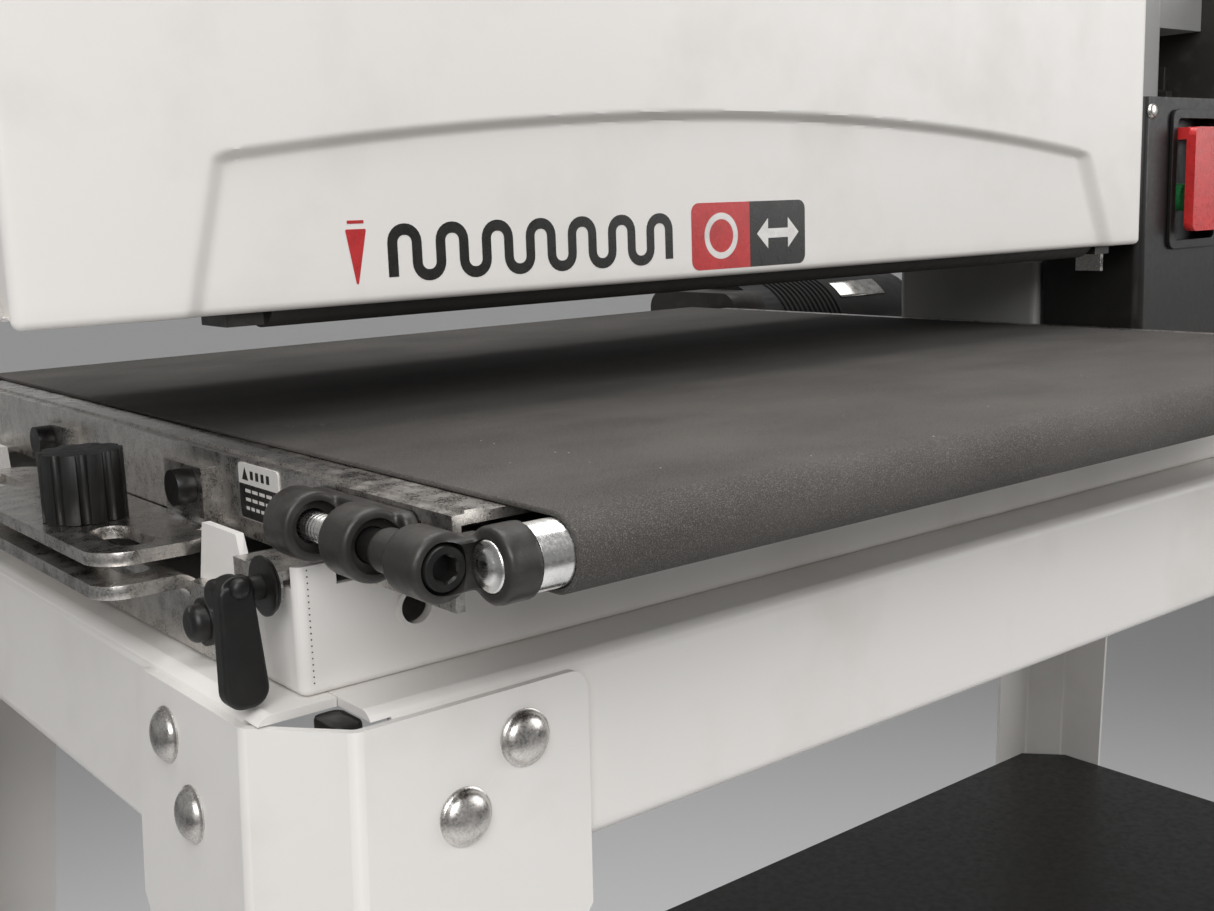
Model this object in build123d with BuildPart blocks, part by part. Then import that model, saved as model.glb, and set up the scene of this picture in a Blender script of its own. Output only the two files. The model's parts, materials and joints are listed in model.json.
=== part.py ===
"""Open-end oscillating drum sander with a power-fed conveyor table on a splayed steel stand.

Lengths are in millimetres. The machine datum is the left front top corner of the conveyor bed:
X runs along the drum from the open end to the column, Y from the infeed to the outfeed side and
Z is up from the belt's working surface. The row origin is on the floor, under the middle of the
bounding box, and at() turns machine coordinates into row coordinates.
"""
import os
from math import atan2, cos, pi, radians, sin, tan

from build123d import *

# --- Row origin ---------------------------------------------------------------------------------
ORIGIN_X = 377.0
ORIGIN_Y = 226.75
BELT_HEIGHT = 850.0

# --- Conveyor -----------------------------------------------------------------------------------
BELT_WIDTH = 440.0
BELT_THICKNESS = 1.5
BELT_RADIUS = 10.0
ROLLER_Z = -BELT_RADIUS
IDLER_Y = -17.5
DRIVE_Y = 417.0
ROLLER_RADIUS = BELT_RADIUS - BELT_THICKNESS - 0.3
ROLLER_SHAFT_RADIUS = 6.2
RUNNING_GAP = 0.05

# --- Table --------------------------------------------------------------------------------------
TABLE_LEFT = -16.0
TABLE_RIGHT = BELT_WIDTH + 16.0
TABLE_SHEET = 2.5
TABLE_FRONT = 0.0
TABLE_REAR = 398.0
TABLE_BOTTOM = -25.0
MIDDLE_Y = 208.5
LOWER_BOLTS_Y, LOWER_BOLTS_Z = (104.0, 2 * MIDDLE_Y - 104.0), -45.0
UPPER_BOLTS_Y = (143.0, 2 * MIDDLE_Y - 143.0)
BRACKET_BOLT_Z = -12.8
BRACKET_SHEET = 4.0
UPPER_PLATE_Z, LOWER_PLATE_Z = -25.0, -33.0
KNOB_PLACE = (-41.0, 178.0)
BRACKET_BEND_RADIUS = 7.0
LEVER_Y = 62.0
LEVER_PIVOT_Z = -26.3
LEVER_STUD_RADIUS = 2.5

# --- Base and stand -----------------------------------------------------------------------------
BASE_LEFT, BASE_RIGHT = -30.0, 784.0
BASE_FRONT, BASE_REAR = 55.0, 2 * MIDDLE_Y - 55.0
BASE_BOTTOM = -57.0
BASE_SHEET = 2.5
BASE_BEND_RADIUS = 3.0
STAND_MIDDLE_X = 377.0
STAND_HALF_X = 425.0
STAND_HALF_Y = 177.5
STAND_SHEET = 2.5
LEG_TOP = -60.0
LEG_BOTTOM = -835.0
LEG_SPLAY = radians(4.0)
LEG_CORNER_X, LEG_CORNER_Y = 20.0, 24.0
LEG_PLATE_X, LEG_PLATE_Y = 94.0, 96.0
LEG_BEND_RADIUS = 5.0
RAIL_BOTTOM = -111.5
RAIL_BEND_RADIUS = 5.0
SHELF_TOP = -406.0
FOOT_RADIUS = 17.0
BOLT_RADIUS = 4.0
BOLT_HEAD_RADIUS = 8.25

# --- Head ---------------------------------------------------------------------------------------
DRUM_RADIUS = 63.5
DRUM_LEFT, DRUM_RIGHT = 30.0, 436.0
DRUM_Z = 100.0
WRAP_THICKNESS = 1.2
SHAFT_RADIUS = 12.5
COVER_LEFT, COVER_RIGHT = -75.0, 470.0
COVER_FRONT, COVER_RECESS = 116.5, 120.0
COVER_BOTTOM, COVER_TOP = 40.0, 190.0
COVER_SHEET = 2.0
HINGE_Y, HINGE_Z = 292.0, 184.0
PRESSURE_RADIUS = 10.0
PRESSURE_Z = 44.5
PRESSURE_Y = {"infeed": 134.0, "outfeed": 2 * MIDDLE_Y - 134.0}
OUTBOARD_PLATE = (-12.0, 0.0)
INBOARD_PLATE = (443.0, 455.0)
BEAM_Z = (168.0, 186.0)
BEAM_Y = (178.0, 262.0)

# --- Column -------------------------------------------------------------------------------------
COLUMN_LEFT, COLUMN_RIGHT = 470.0, 600.0
COLUMN_TOP = 30.0
POST_Y = 246.0
POSTS_X = (500.0, 578.0)
POST_RADIUS = 11.0
SCREW_X = 539.0
SCREW_RADIUS = 8.0
CAP_Z = (284.0, 300.0)
CARRIAGE_X = (474.0, 596.0)
CARRIAGE_Z = (68.0, 186.0)
CRANK_RADIUS = 62.0

# --- Motors -------------------------------------------------------------------------------------
MOTOR_X = (650.0, 822.0)
MOTOR_RADIUS = 74.0
GEARMOTOR_Y, GEARMOTOR_Z = 436.0, -32.0
GEARMOTOR_RADIUS = 45.0
GEARMOTOR_X = (486.0, 650.0)
DUST_PORT_RADIUS = 50.8


def at(x, y, z):
    """Row coordinates of a point given in machine coordinates."""
    return (x - ORIGIN_X, y - ORIGIN_Y, z + BELT_HEIGHT)


def level(z):
    """Horizontal sketch plane; local x and y are machine X and Y."""
    return Plane(origin=at(0, 0, z))


def facing_front(y):
    """Upright plane across the machine; local x and y are machine X and Z, normal to the front."""
    return Plane(origin=at(0, y, 0), x_dir=(1, 0, 0), z_dir=(0, -1, 0))


def facing_right(x):
    """Upright plane along the feed; local x and y are machine Y and Z, normal to +X."""
    return Plane(origin=at(x, 0, 0), x_dir=(0, 1, 0), z_dir=(1, 0, 0))


def block(x, y, z, mode=Mode.ADD):
    """Box between two machine coordinates on each axis."""
    with Locations(at(sum(x) / 2, sum(y) / 2, sum(z) / 2)):
        Box(abs(x[1] - x[0]), abs(y[1] - y[0]), abs(z[1] - z[0]), mode=mode)


def rod_x(x, y, z, radius, mode=Mode.ADD):
    """Cylinder along X between two machine X values."""
    with Locations(Location(at(sum(x) / 2, y, z), (0, 90, 0))):
        Cylinder(radius, abs(x[1] - x[0]), mode=mode)


def rod_y(x, y, z, radius, mode=Mode.ADD):
    """Cylinder along Y between two machine Y values."""
    with Locations(Location(at(x, sum(y) / 2, z), (90, 0, 0))):
        Cylinder(radius, abs(y[1] - y[0]), mode=mode)


def rod_z(x, y, z, radius, mode=Mode.ADD):
    """Cylinder along Z between two machine Z values."""
    with Locations(at(x, y, sum(z) / 2)):
        Cylinder(radius, abs(z[1] - z[0]), mode=mode)


def hex_z(x, y, z, across_flats):
    """Hexagonal prism along Z."""
    with BuildSketch(level(z[0])) as profile:
        with Locations((x, y)):
            RegularPolygon(across_flats / 2, 6, major_radius=False)
    extrude(profile.sketch, amount=z[1] - z[0])


def hex_y(x, y, z, across_flats, mode=Mode.ADD):
    """Hexagonal prism along Y."""
    with BuildSketch(facing_front(y[0])) as profile:
        with Locations((x, z)):
            RegularPolygon(across_flats / 2, 6, major_radius=False)
    extrude(profile.sketch, amount=y[0] - y[1], mode=mode)


def outline(plane, points):
    """Closed straight-sided profile on a plane."""
    with BuildSketch(plane) as profile:
        with BuildLine():
            Polyline(*points, close=True)
        make_face()
    return profile.sketch


def edge_along_y(x, z):
    """The edge running along Y nearest to a machine X and Z."""
    return edges().filter_by(Axis.Y).sort_by_distance(Vector(*at(x, MIDDLE_Y, z)))[0]


def save(piece, name):
    """Label a finished sub-part and write it as its own STEP file."""
    piece.part.label = name
    export_step(piece.part, f"parts/{name}.step")


def mirror_y(y):
    """The same place on the other side of the drum's axis."""
    return 2 * MIDDLE_Y - y


os.makedirs("parts", exist_ok=True)

# ================================================================================================
# Stand
# ================================================================================================
CORNERS = [(-1, -1), (1, -1), (-1, 1), (1, 1)]


def splay(z):
    """How far the stand has spread outward at a level below the leg tops."""
    return (LEG_TOP - z) * tan(LEG_SPLAY)


def stand_x(side, inward, z=LEG_TOP):
    """Machine X at a distance in from the stand's left or right outer plane."""
    return STAND_MIDDLE_X + side * (STAND_HALF_X - inward + splay(z))


def stand_y(side, inward, z=LEG_TOP):
    """Machine Y at a distance in from the stand's front or rear outer plane."""
    return MIDDLE_Y + side * (STAND_HALF_Y - inward + splay(z))


def splay_direction(side_x, side_y):
    """Direction of a leg's long edges, pointing down and outward."""
    return (side_x * tan(LEG_SPLAY), side_y * tan(LEG_SPLAY), -1)


def drop(height, side_x, side_y):
    """Length along a splayed direction that spans a vertical height."""
    return height * Vector(*splay_direction(side_x, side_y)).length


def leg_bolts(side_x, side_y):
    """Bolt places of one leg: a plane on the outer face, its normal pointing outward."""
    places = []
    for inward, z in ((70.6, -74.7), (49.6, -90.9)):
        origin = at(stand_x(side_x, inward), stand_y(side_y, 0, z), z)
        places.append(Plane(origin=origin, x_dir=(1, 0, 0), z_dir=(0, side_y * cos(LEG_SPLAY), sin(LEG_SPLAY))))
    for inward, z in ((72.0, -75.0), (55.0, -93.0)):
        origin = at(stand_x(side_x, 0, z), stand_y(side_y, inward), z)
        places.append(Plane(origin=origin, x_dir=(0, 1, 0), z_dir=(side_x * cos(LEG_SPLAY), 0, sin(LEG_SPLAY))))
    return places


def foot_place(side_x, side_y):
    """Machine X and Y of a levelling foot."""
    return stand_x(side_x, 26, LEG_BOTTOM), stand_y(side_y, 28, LEG_BOTTOM)


def leg_section(side_x, side_y):
    """A leg's bent section at its top: two flanges joined by a chamfer, with rounded bends."""
    turn = atan2(LEG_CORNER_Y, LEG_CORNER_X)
    outer_points = [(LEG_PLATE_X, 0), (LEG_CORNER_X, 0), (0, LEG_CORNER_Y), (0, LEG_PLATE_Y)]
    inner_corner_x = LEG_CORNER_X + STAND_SHEET * tan(turn / 2)
    inner_corner_y = LEG_CORNER_Y + STAND_SHEET * tan((pi / 2 - turn) / 2)
    inner_points = [(LEG_PLATE_X, STAND_SHEET), (inner_corner_x, STAND_SHEET), (STAND_SHEET, inner_corner_y),
                    (STAND_SHEET, LEG_PLATE_Y)]

    def placed(points):
        return [(stand_x(side_x, a), stand_y(side_y, b)) for a, b in points]

    with BuildSketch(level(LEG_TOP)) as profile:
        with BuildLine():
            outer = FilletPolyline(*placed(outer_points), radius=LEG_BEND_RADIUS)
            inner = FilletPolyline(*placed(inner_points), radius=LEG_BEND_RADIUS - STAND_SHEET)
            Line(outer @ 0, inner @ 0)
            Line(outer @ 1, inner @ 1)
        make_face()
    return profile.sketch


def make_leg(side_x, side_y):
    """Bent sheet leg with a chamfered corner, narrowed below the rails, with a foot plate."""
    direction = splay_direction(side_x, side_y)
    height = LEG_TOP - LEG_BOTTOM
    extrude(leg_section(side_x, side_y), amount=drop(height, side_x, side_y), dir=direction)
    fillet(edges().filter_by(Axis.Y).group_by(Axis.Z)[-1].sort_by(Axis.X)[0 if side_x > 0 else -1], 6)
    fillet(edges().filter_by(Axis.X).group_by(Axis.Z)[-1].sort_by(Axis.Y)[0 if side_y > 0 else -1], 6)
    # both flanges are full width behind the rails and taper to a narrow leg below them
    wide_to, narrow_from, below = -128.0, -170.0, LEG_BOTTOM - 5
    front_cut = [(stand_x(side_x, 110, wide_to), wide_to), (stand_x(side_x, LEG_PLATE_X, wide_to), wide_to),
                 (stand_x(side_x, 60, narrow_from), narrow_from), (stand_x(side_x, 56, below), below),
                 (stand_x(side_x, 110, below), below)]
    profile = outline(facing_front(stand_y(side_y, 12)), front_cut)
    extrude(profile, amount=-side_y * 80, mode=Mode.SUBTRACT)
    side_cut = [(stand_y(side_y, 112, wide_to), wide_to), (stand_y(side_y, LEG_PLATE_Y, wide_to), wide_to),
                (stand_y(side_y, 62, narrow_from), narrow_from), (stand_y(side_y, 58, below), below),
                (stand_y(side_y, 112, below), below)]
    profile = outline(facing_right(stand_x(side_x, 12)), side_cut)
    extrude(profile, amount=side_x * 80, mode=Mode.SUBTRACT)
    foot_x, foot_y = foot_place(side_x, side_y)
    plate = [(stand_x(side_x, a, LEG_BOTTOM), stand_y(side_y, b, LEG_BOTTOM))
             for a, b in ((LEG_CORNER_X, 1), (54, 1), (54, 20), (20, 56), (1, 56), (1, LEG_CORNER_Y))]
    profile = outline(level(LEG_BOTTOM), plate)
    extrude(profile, amount=3)
    rod_z(foot_x, foot_y, (LEG_BOTTOM - 1, LEG_BOTTOM + 5), 5 + RUNNING_GAP, Mode.SUBTRACT)
    for place in leg_bolts(side_x, side_y):
        with Locations(Location(place)):
            Cylinder(BOLT_RADIUS + RUNNING_GAP, 20, mode=Mode.SUBTRACT)


pieces = []
for side_x, side_y in CORNERS:
    with BuildPart() as leg:
        make_leg(side_x, side_y)
    pieces.append(leg.part)
with BuildPart() as legs:
    add(pieces)
save(legs, "legs")

RAIL_RETURN = 14.0
CROSS_REACH = STAND_HALF_X - 26.0
CROSS_FLANGE = STAND_SHEET + 42.0
SIDE_REACH = STAND_HALF_Y - 20.0
SIDE_FLANGE = 25.5


def rail_section(plane, place, flange):
    """A rail's bent section: top flange that the base stands on, leaning web and bottom return."""
    inside = 2 * STAND_SHEET
    outer_points = [(flange, BASE_BOTTOM), (STAND_SHEET, BASE_BOTTOM), (STAND_SHEET, RAIL_BOTTOM),
                    (RAIL_RETURN, RAIL_BOTTOM)]
    inner_points = [(flange, BASE_BOTTOM - STAND_SHEET), (inside, BASE_BOTTOM - STAND_SHEET),
                    (inside, RAIL_BOTTOM + STAND_SHEET), (RAIL_RETURN, RAIL_BOTTOM + STAND_SHEET)]
    with BuildSketch(plane) as profile:
        with BuildLine():
            outer = FilletPolyline(*[place(a, z) for a, z in outer_points], radius=RAIL_BEND_RADIUS)
            inner = FilletPolyline(*[place(a, z) for a, z in inner_points], radius=RAIL_BEND_RADIUS - STAND_SHEET)
            Line(outer @ 0, inner @ 0)
            Line(outer @ 1, inner @ 1)
        make_face()
    return profile.sketch


def make_cross_rail(side_y):
    """Front or rear rail, its web a little shorter than its top flange."""
    left, right = STAND_MIDDLE_X - CROSS_REACH, STAND_MIDDLE_X + CROSS_REACH
    section = rail_section(facing_right(left), lambda a, z: (stand_y(side_y, a, z), z), CROSS_FLANGE)
    extrude(section, amount=right - left)
    depth = (stand_y(side_y, -20), stand_y(side_y, 60))
    for end in ((left - 1, left + 6), (right - 6, right + 1)):
        block(end, depth, (RAIL_BOTTOM - 1, BASE_BOTTOM - STAND_SHEET), Mode.SUBTRACT)


def make_side_rail(side_x):
    """Left or right rail, between the cross rails."""
    near, far = MIDDLE_Y - SIDE_REACH, MIDDLE_Y + SIDE_REACH
    section = rail_section(facing_front(near), lambda a, z: (stand_x(side_x, a, z), z), SIDE_FLANGE)
    extrude(section, amount=near - far)
    width = (stand_x(side_x, -20), stand_x(side_x, 60))
    for end in ((near - 1, near + 8), (far - 8, far + 1)):
        block(width, end, (RAIL_BOTTOM - 1, BASE_BOTTOM - STAND_SHEET), Mode.SUBTRACT)


def drill_rail(faces):
    """Clearance holes for the carriage bolts of the corners that a rail meets."""
    for side_x, side_y in CORNERS:
        for place in leg_bolts(side_x, side_y)[faces]:
            with Locations(Location(place)):
                Cylinder(BOLT_RADIUS + RUNNING_GAP, 20, mode=Mode.SUBTRACT)


pieces = []
for side in (-1, 1):
    with BuildPart() as cross_rail:
        make_cross_rail(side)
        drill_rail(slice(0, 2))
    with BuildPart() as side_rail:
        make_side_rail(side)
        drill_rail(slice(2, 4))
    pieces += [cross_rail.part, side_rail.part]
with BuildPart() as rails:
    add(pieces)
save(rails, "rails")

with BuildPart() as shelf:
    margin = STAND_SHEET + 0.05
    edge_x = STAND_HALF_X + splay(SHELF_TOP) - margin
    edge_y = STAND_HALF_Y + splay(SHELF_TOP) - margin
    corner_x, corner_y = LEG_CORNER_X + 3, LEG_CORNER_Y + 3

    def shelf_points(inset):
        """Chamfered rectangle, inset all round."""
        ex, ey = edge_x - inset, edge_y - inset
        quarter = [(ex, ey - corner_y), (ex - corner_x, ey)]
        points = quarter + [(-x, y) for x, y in reversed(quarter)]
        points += [(-x, -y) for x, y in points]
        return [(STAND_MIDDLE_X + x, MIDDLE_Y + y) for x, y in points]

    profile = outline(level(SHELF_TOP), shelf_points(0))
    extrude(profile, amount=-28)
    profile = outline(level(SHELF_TOP - 1.5), shelf_points(1.5))
    extrude(profile, amount=-28, mode=Mode.SUBTRACT)
save(shelf, "shelf")

DOME_HEIGHT = 3.6
DOME_RADIUS = (BOLT_HEAD_RADIUS**2 + DOME_HEIGHT**2) / (2 * DOME_HEIGHT)


def make_carriage_bolt(place):
    """Domed bolt with its flange nut, the head on the plane and the shank behind it."""
    with Locations(Location(place)):
        Cylinder(BOLT_RADIUS, 15, align=(Align.CENTER, Align.CENTER, Align.MAX))
    with BuildSketch(place) as rim:
        Circle(BOLT_HEAD_RADIUS)
    extrude(rim.sketch, amount=0.8)
    with Locations(Location(place.offset(0.8 + DOME_HEIGHT - DOME_RADIUS))):
        cap = Sphere(DOME_RADIUS, mode=Mode.PRIVATE)
    with Locations(Location(place.offset(0.8))):
        slab = Cylinder(BOLT_HEAD_RADIUS, DOME_HEIGHT + 1, mode=Mode.PRIVATE,
                        align=(Align.CENTER, Align.CENTER, Align.MIN))
    add(cap & slab)
    with BuildSketch(place.offset(-2 * STAND_SHEET - 0.15)) as nut:
        RegularPolygon(6.5, 6, major_radius=False)
    extrude(nut.sketch, amount=-6.5)


pieces = []
for side_x, side_y in CORNERS:
    for place in leg_bolts(side_x, side_y):
        with BuildPart() as bolt:
            make_carriage_bolt(place)
        pieces.append(bolt.part)
with BuildPart() as stand_bolts:
    add(pieces)
save(stand_bolts, "stand_bolts")

with BuildPart() as levelling_feet:
    for side_x, side_y in CORNERS:
        x, y = foot_place(side_x, side_y)
        rod_z(x, y, (-BELT_HEIGHT, -BELT_HEIGHT + 9), FOOT_RADIUS)
        rod_z(x, y, (-BELT_HEIGHT + 9, LEG_BOTTOM - 0.1), 9)
        rod_z(x, y, (-BELT_HEIGHT + 5, LEG_BOTTOM + 22), 5)
        hex_z(x, y, (LEG_BOTTOM + 3.1, LEG_BOTTOM + 9), 16)
save(levelling_feet, "levelling_feet")

# ================================================================================================
# Base, column and controls (fixed to the stand)
# ================================================================================================
FRONT_HOLE_X, FRONT_HOLE_Z, FRONT_HOLE_RADIUS = 5.5, -38.7, 4.8
WALL_TOP_LOW, WALL_TOP_BRACKET, WALL_TOP_TAB = -27.5, -38.0, -18.0
CROSS_WALL_TOP = -27.8
CORNER_TOP = -21.5
PIVOT_X, PIVOT_Z = BELT_WIDTH + 26.0, -20.0
PIVOT_POSTS = ((70.0, 90.0), (327.0, 347.0))
PIVOT_RADIUS = 4.0

with BuildPart() as base_frame:
    block((BASE_LEFT, BASE_RIGHT), (BASE_FRONT, BASE_REAR), (BASE_BOTTOM, BASE_BOTTOM + BASE_SHEET))
    for y in (BASE_FRONT, BASE_REAR - BASE_SHEET):
        block((BASE_LEFT, BASE_RIGHT), (y, y + BASE_SHEET), (BASE_BOTTOM, CROSS_WALL_TOP))
        block((BASE_LEFT, TABLE_LEFT - 2), (y, y + BASE_SHEET), (BASE_BOTTOM, CORNER_TOP))
    right_wall = (BASE_RIGHT - BASE_SHEET, BASE_RIGHT)
    block(right_wall, (BASE_FRONT, BASE_REAR), (BASE_BOTTOM, CROSS_WALL_TOP))
    # the left wall is notched for the lock tabs and for the alignment brackets
    steps = [(BASE_FRONT, BASE_BOTTOM), (BASE_FRONT, WALL_TOP_LOW), (86, WALL_TOP_LOW), (89.5, WALL_TOP_TAB),
             (112, WALL_TOP_TAB), (117, WALL_TOP_BRACKET)]
    profile = outline(facing_right(BASE_LEFT), steps + [(mirror_y(y), z) for y, z in reversed(steps)])
    extrude(profile, amount=BASE_SHEET)
    fillet(edges().filter_by(Axis.Z).group_by(Axis.X)[0].group_by(Axis.Y)[0], BASE_BEND_RADIUS)
    fillet(faces().sort_by(Axis.Z)[0].outer_wire().edges(), BASE_BEND_RADIUS - 0.5)
    # posts that carry the table's tilt pivots
    for y in PIVOT_POSTS:
        block((PIVOT_X - 5, PIVOT_X + 5), y, (BASE_BOTTOM, PIVOT_Z + 8))
        rod_y(PIVOT_X, (y[0] - 1, y[1] + 1), PIVOT_Z, PIVOT_RADIUS + RUNNING_GAP, Mode.SUBTRACT)
    rod_y(FRONT_HOLE_X, (BASE_FRONT - 0.8, BASE_FRONT + 1), FRONT_HOLE_Z, FRONT_HOLE_RADIUS + 1.3)
    rod_y(FRONT_HOLE_X, (BASE_FRONT - 2, BASE_FRONT + 4), FRONT_HOLE_Z, FRONT_HOLE_RADIUS, Mode.SUBTRACT)
save(base_frame, "base_frame")

with BuildPart() as column_housing:
    floor = BASE_BOTTOM + BASE_SHEET
    block((COLUMN_LEFT, COLUMN_RIGHT), (177, 270), (floor, COLUMN_TOP))
    block((COLUMN_LEFT - 6, COLUMN_RIGHT + 30), (150, 300), (floor, floor + 12))
    fillet(edges().filter_by(Axis.Z).group_by(Axis.Z)[-1], 4)
    for x in POSTS_X:
        rod_z(x, POST_Y, (COLUMN_TOP - 60, COLUMN_TOP + 1), POST_RADIUS + 0.02, Mode.SUBTRACT)
    rod_z(SCREW_X, POST_Y, (COLUMN_TOP - 20, COLUMN_TOP + 1), SCREW_RADIUS + RUNNING_GAP, Mode.SUBTRACT)
save(column_housing, "column_housing")

with BuildPart() as guide_posts:
    for x in POSTS_X:
        rod_z(x, POST_Y, (COLUMN_TOP - 60, CAP_Z[1]), POST_RADIUS)
save(guide_posts, "guide_posts")

with BuildPart() as column_cap:
    with BuildSketch(level(CAP_Z[0])):
        with Locations((SCREW_X, POST_Y)):
            RectangleRounded(120, 44, 20)
            with Locations(*[(x - SCREW_X, 0) for x in POSTS_X]):
                Circle(POST_RADIUS + 0.02, mode=Mode.SUBTRACT)
            Circle(SCREW_RADIUS + RUNNING_GAP, mode=Mode.SUBTRACT)
    extrude(amount=CAP_Z[1] - CAP_Z[0])
save(column_cap, "column_cap")

with BuildPart() as bracket_lower:
    foot = BASE_BOTTOM + 1
    web, under = -30 - BRACKET_SHEET, LOWER_PLATE_Z - BRACKET_SHEET
    section = [(web, foot), (-30, foot), (-30, LOWER_PLATE_Z), (-60, LOWER_PLATE_Z), (-60, under), (web, under)]
    profile = outline(facing_front(115), section)
    extrude(profile, amount=-(mirror_y(115) - 115))
    fillet(edge_along_y(-30, LOWER_PLATE_Z), BRACKET_BEND_RADIUS)
    fillet(edge_along_y(web, under), BRACKET_BEND_RADIUS - BRACKET_SHEET)
    block((web, -30), (98, 115), (foot, -35))
    block((web, -30), (mirror_y(98), mirror_y(115)), (foot, -35))
    fillet(edges().filter_by(Axis.Z).group_by(Axis.X)[0], 9)
    for y in (130, mirror_y(130)):
        with BuildSketch(level(-30)):
            with Locations((-44, y + (12 if y < MIDDLE_Y else -12))):
                SlotOverall(30, 9, rotation=90)
        extrude(amount=-10, mode=Mode.SUBTRACT)
    rod_z(*KNOB_PLACE, (-40, -30), 4.4, Mode.SUBTRACT)
    for y in LOWER_BOLTS_Y:
        rod_x((-36, -29), y, LOWER_BOLTS_Z, 4 + RUNNING_GAP, Mode.SUBTRACT)
save(bracket_lower, "alignment_bracket_lower")

# button-head bolts that hold the lower bracket to the base
pieces = []
for y in LOWER_BOLTS_Y:
    with BuildPart() as bolt:
        rod_x((-40, -35.5), y, LOWER_BOLTS_Z, 5.5)
        fillet(edges().group_by(Axis.X)[0], 2.5)
        rod_x((-35.5, -34.1), y, LOWER_BOLTS_Z, 7)
        rod_x((-35.5, -30.05), y, LOWER_BOLTS_Z, 4)
    pieces.append(bolt.part)
with BuildPart() as bracket_bolts_lower:
    add(pieces)
save(bracket_bolts_lower, "bracket_bolts_lower")

BOX_X, BOX_Y, BOX_Z = (472.0, 604.0), (118.0, 177.0), (-20.0, 112.0)
KNOB_X, PADDLE_X, PANEL_Z = 575.0, 520.0, 70.0
PADDLE_HINGE_Z = PANEL_Z + 24

with BuildPart() as control_box:
    block(BOX_X, BOX_Y, BOX_Z)
    fillet(edges().filter_by(Axis.Z), 5)
    pocket_x, pocket_z = (PADDLE_X - 20, PADDLE_X + 20), (PANEL_Z - 30, PANEL_Z + 32)
    block(pocket_x, (BOX_Y[0] - 1, BOX_Y[0] + 8), pocket_z, Mode.SUBTRACT)
    rod_y(KNOB_X, (BOX_Y[0] - 1, BOX_Y[0] + 16), PANEL_Z, 4 + RUNNING_GAP, Mode.SUBTRACT)
    rod_y(PADDLE_X, (BOX_Y[0] + 7, BOX_Y[0] + 20), PANEL_Z - 8, 7 + RUNNING_GAP, Mode.SUBTRACT)
    rod_x((PADDLE_X - 22, PADDLE_X + 22), BOX_Y[0] + 3, PADDLE_HINGE_Z, 2 + RUNNING_GAP, Mode.SUBTRACT)
save(control_box, "control_box")

with BuildPart() as stop_paddle:
    with BuildSketch(facing_front(BOX_Y[0] - 6)):
        with Locations((PADDLE_X, PANEL_Z + 1)):
            RectangleRounded(36, 52, 4)
    extrude(amount=5)
    for side in (-1, 1):
        ear = sorted((PADDLE_X + side * 15, PADDLE_X + side * 18))
        block(ear, (BOX_Y[0] - 7, BOX_Y[0] + 5), (PADDLE_HINGE_Z - 3, PADDLE_HINGE_Z + 3))
        rod_x(sorted((PADDLE_X + side * 17, PADDLE_X + side * 21.5)), BOX_Y[0] + 3, PADDLE_HINGE_Z, 2)
save(stop_paddle, "stop_paddle")

with BuildPart() as start_button:
    rod_y(PADDLE_X, (BOX_Y[0] + 3, BOX_Y[0] + 15), PANEL_Z - 8, 7)
save(start_button, "start_button")

with BuildPart() as speed_knob:
    rod_y(KNOB_X, (BOX_Y[0] - 16, BOX_Y[0] - 0.5), PANEL_Z, 15)
    fillet(edges().group_by(Axis.Y)[0], 2)
    rod_y(KNOB_X, (BOX_Y[0] - 8, BOX_Y[0] + 12), PANEL_Z, 4)
    block((KNOB_X - 1, KNOB_X + 1), (BOX_Y[0] - 17, BOX_Y[0] - 15), (PANEL_Z + 2, PANEL_Z + 13))
save(speed_knob, "speed_knob")

with BuildPart() as cable_gland:
    hex_z(590, 150, (BOX_Z[0] - 8, BOX_Z[0]), 22)
    rod_z(590, 150, (BOX_Z[0] - 20, BOX_Z[0] - 8), 9)
    rod_z(590, 150, (BOX_Z[0] - 21, BOX_Z[0] - 10), 5, Mode.SUBTRACT)
save(cable_gland, "cable_gland")

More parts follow.
